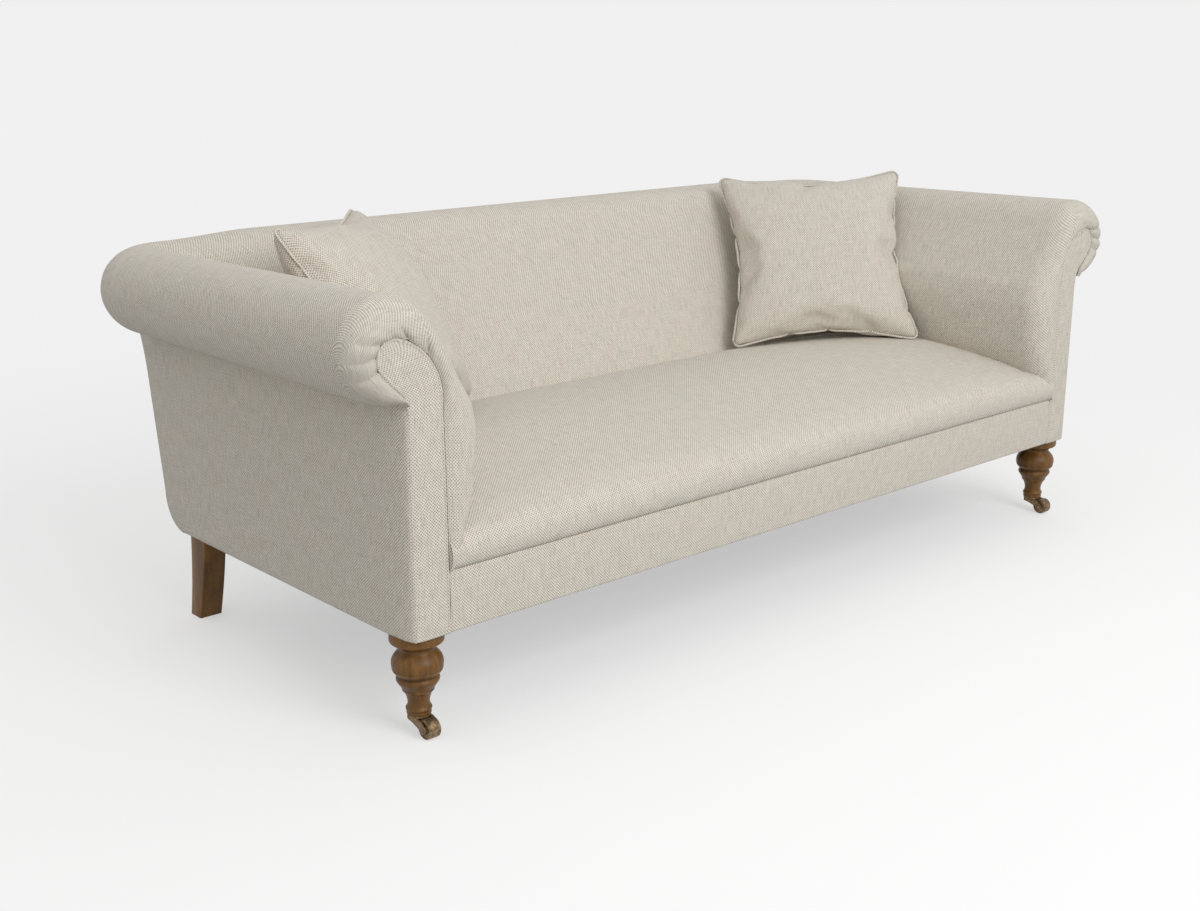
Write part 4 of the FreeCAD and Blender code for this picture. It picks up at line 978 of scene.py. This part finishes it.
floor_mesh = bpy.data.meshes.new("studio_floor")
corners = [(x * FLOOR_REACH, y * FLOOR_REACH, 0) for x, y in ((-1, -1), (1, -1), (1, 1), (-1, 1))]
floor_mesh.from_pydata(corners, [], [(0, 1, 2, 3)])
floor = bpy.data.objects.new("studio_floor", floor_mesh)
bpy.context.scene.collection.objects.link(floor)

n = Nodes("studio_floor")
n.put(n.shader.inputs["Base Color"], (0.50, 0.50, 0.50, 1.0))
n.shader.inputs["Roughness"].default_value = 0.9
n.shader.inputs["Specular IOR Level"].default_value = 0.1
place = n.add("ShaderNodeTexCoord").outputs["Object"]
length = n.add("ShaderNodeVectorMath", operation="LENGTH")
n.wire(place, length.inputs[0])
far = n.add("ShaderNodeMapRange", interpolation_type="SMOOTHSTEP")
n.wire(length.outputs["Value"], far.inputs["Value"])
far.inputs["From Min"].default_value = FLOOR_NEAR
far.inputs["From Max"].default_value = FLOOR_FAR
rays = n.add("ShaderNodeLightPath")
seen = n.sums("MAXIMUM", rays.outputs["Is Glossy Ray"], rays.outputs["Is Transmission Ray"])
seen = n.sums("MAXIMUM", rays.outputs["Is Camera Ray"], seen)
glow = n.add("ShaderNodeEmission")
n.put(glow.inputs["Color"], (*BACKGROUND, 1.0))
n.put(n.shader.inputs["Emission Color"], (1.0, 1.0, 1.0, 1.0))
n.wire(n.sums("MULTIPLY", seen, FLOOR_GLOW), n.shader.inputs["Emission Strength"])
blend = n.add("ShaderNodeMixShader")
n.wire(n.sums("MULTIPLY", far.outputs["Result"], seen), blend.inputs[0])
n.wire(n.shader.outputs[0], blend.inputs[1])
n.wire(glow.outputs[0], blend.inputs[2])
n.wire(blend.outputs[0], n.tree.nodes["Material Output"].inputs["Surface"])
floor_mesh.materials.append(n.material)

world = bpy.data.worlds.new("studio")
bpy.context.scene.world = world
world.use_nodes = True
tree = world.node_tree
surface = tree.nodes["Background"]
surface.inputs["Color"].default_value = (1.0, 1.0, 1.0, 1.0)
surface.inputs["Strength"].default_value = SKY
backdrop = tree.nodes.new("ShaderNodeBackground")
backdrop.inputs["Color"].default_value = (*BACKGROUND, 1.0)
rays = tree.nodes.new("ShaderNodeLightPath")
seen, glossy = tree.nodes.new("ShaderNodeMath"), tree.nodes.new("ShaderNodeMath")
seen.operation = glossy.operation = "MAXIMUM"
tree.links.new(rays.outputs["Is Glossy Ray"], glossy.inputs[0])
tree.links.new(rays.outputs["Is Transmission Ray"], glossy.inputs[1])
tree.links.new(rays.outputs["Is Camera Ray"], seen.inputs[0])
tree.links.new(glossy.outputs[0], seen.inputs[1])
mixer = tree.nodes.new("ShaderNodeMixShader")
tree.links.new(seen.outputs[0], mixer.inputs[0])
tree.links.new(surface.outputs[0], mixer.inputs[1])
tree.links.new(backdrop.outputs[0], mixer.inputs[2])
tree.links.new(mixer.outputs[0], tree.nodes["World Output"].inputs["Surface"])


def lamp(name, place, target, size, power):
    """A soft square lamp aimed at a place."""
    light = bpy.data.lights.new(name, "AREA")
    light.shape = "SQUARE"
    light.size = size
    light.energy = power
    piece = bpy.data.objects.new(name, light)
    piece.location = place
    piece.rotation_euler = (Vector(target) - Vector(place)).to_track_quat("-Z", "Y").to_euler()
    bpy.context.scene.collection.objects.link(piece)


lamp("key", (-0.3, -4.7, 3.3), (0.0, 0.0, 0.4), 3.0, 134.0)

# As fitted to the photo
TILT, HEADING = 74.311, -42.085
camera_data = bpy.data.cameras.new("camera")
camera_data.lens = 46.02
camera_data.sensor_width = 36.0
camera = bpy.data.objects.new("camera", camera_data)
camera.location = (-2.2569, FACE - 1.8915, 1.1375)
camera.rotation_euler = Euler((math.radians(TILT), 0.0, math.radians(HEADING)))
bpy.context.scene.collection.objects.link(camera)
bpy.context.scene.camera = camera
bpy.context.scene.view_settings.view_transform = "Standard"
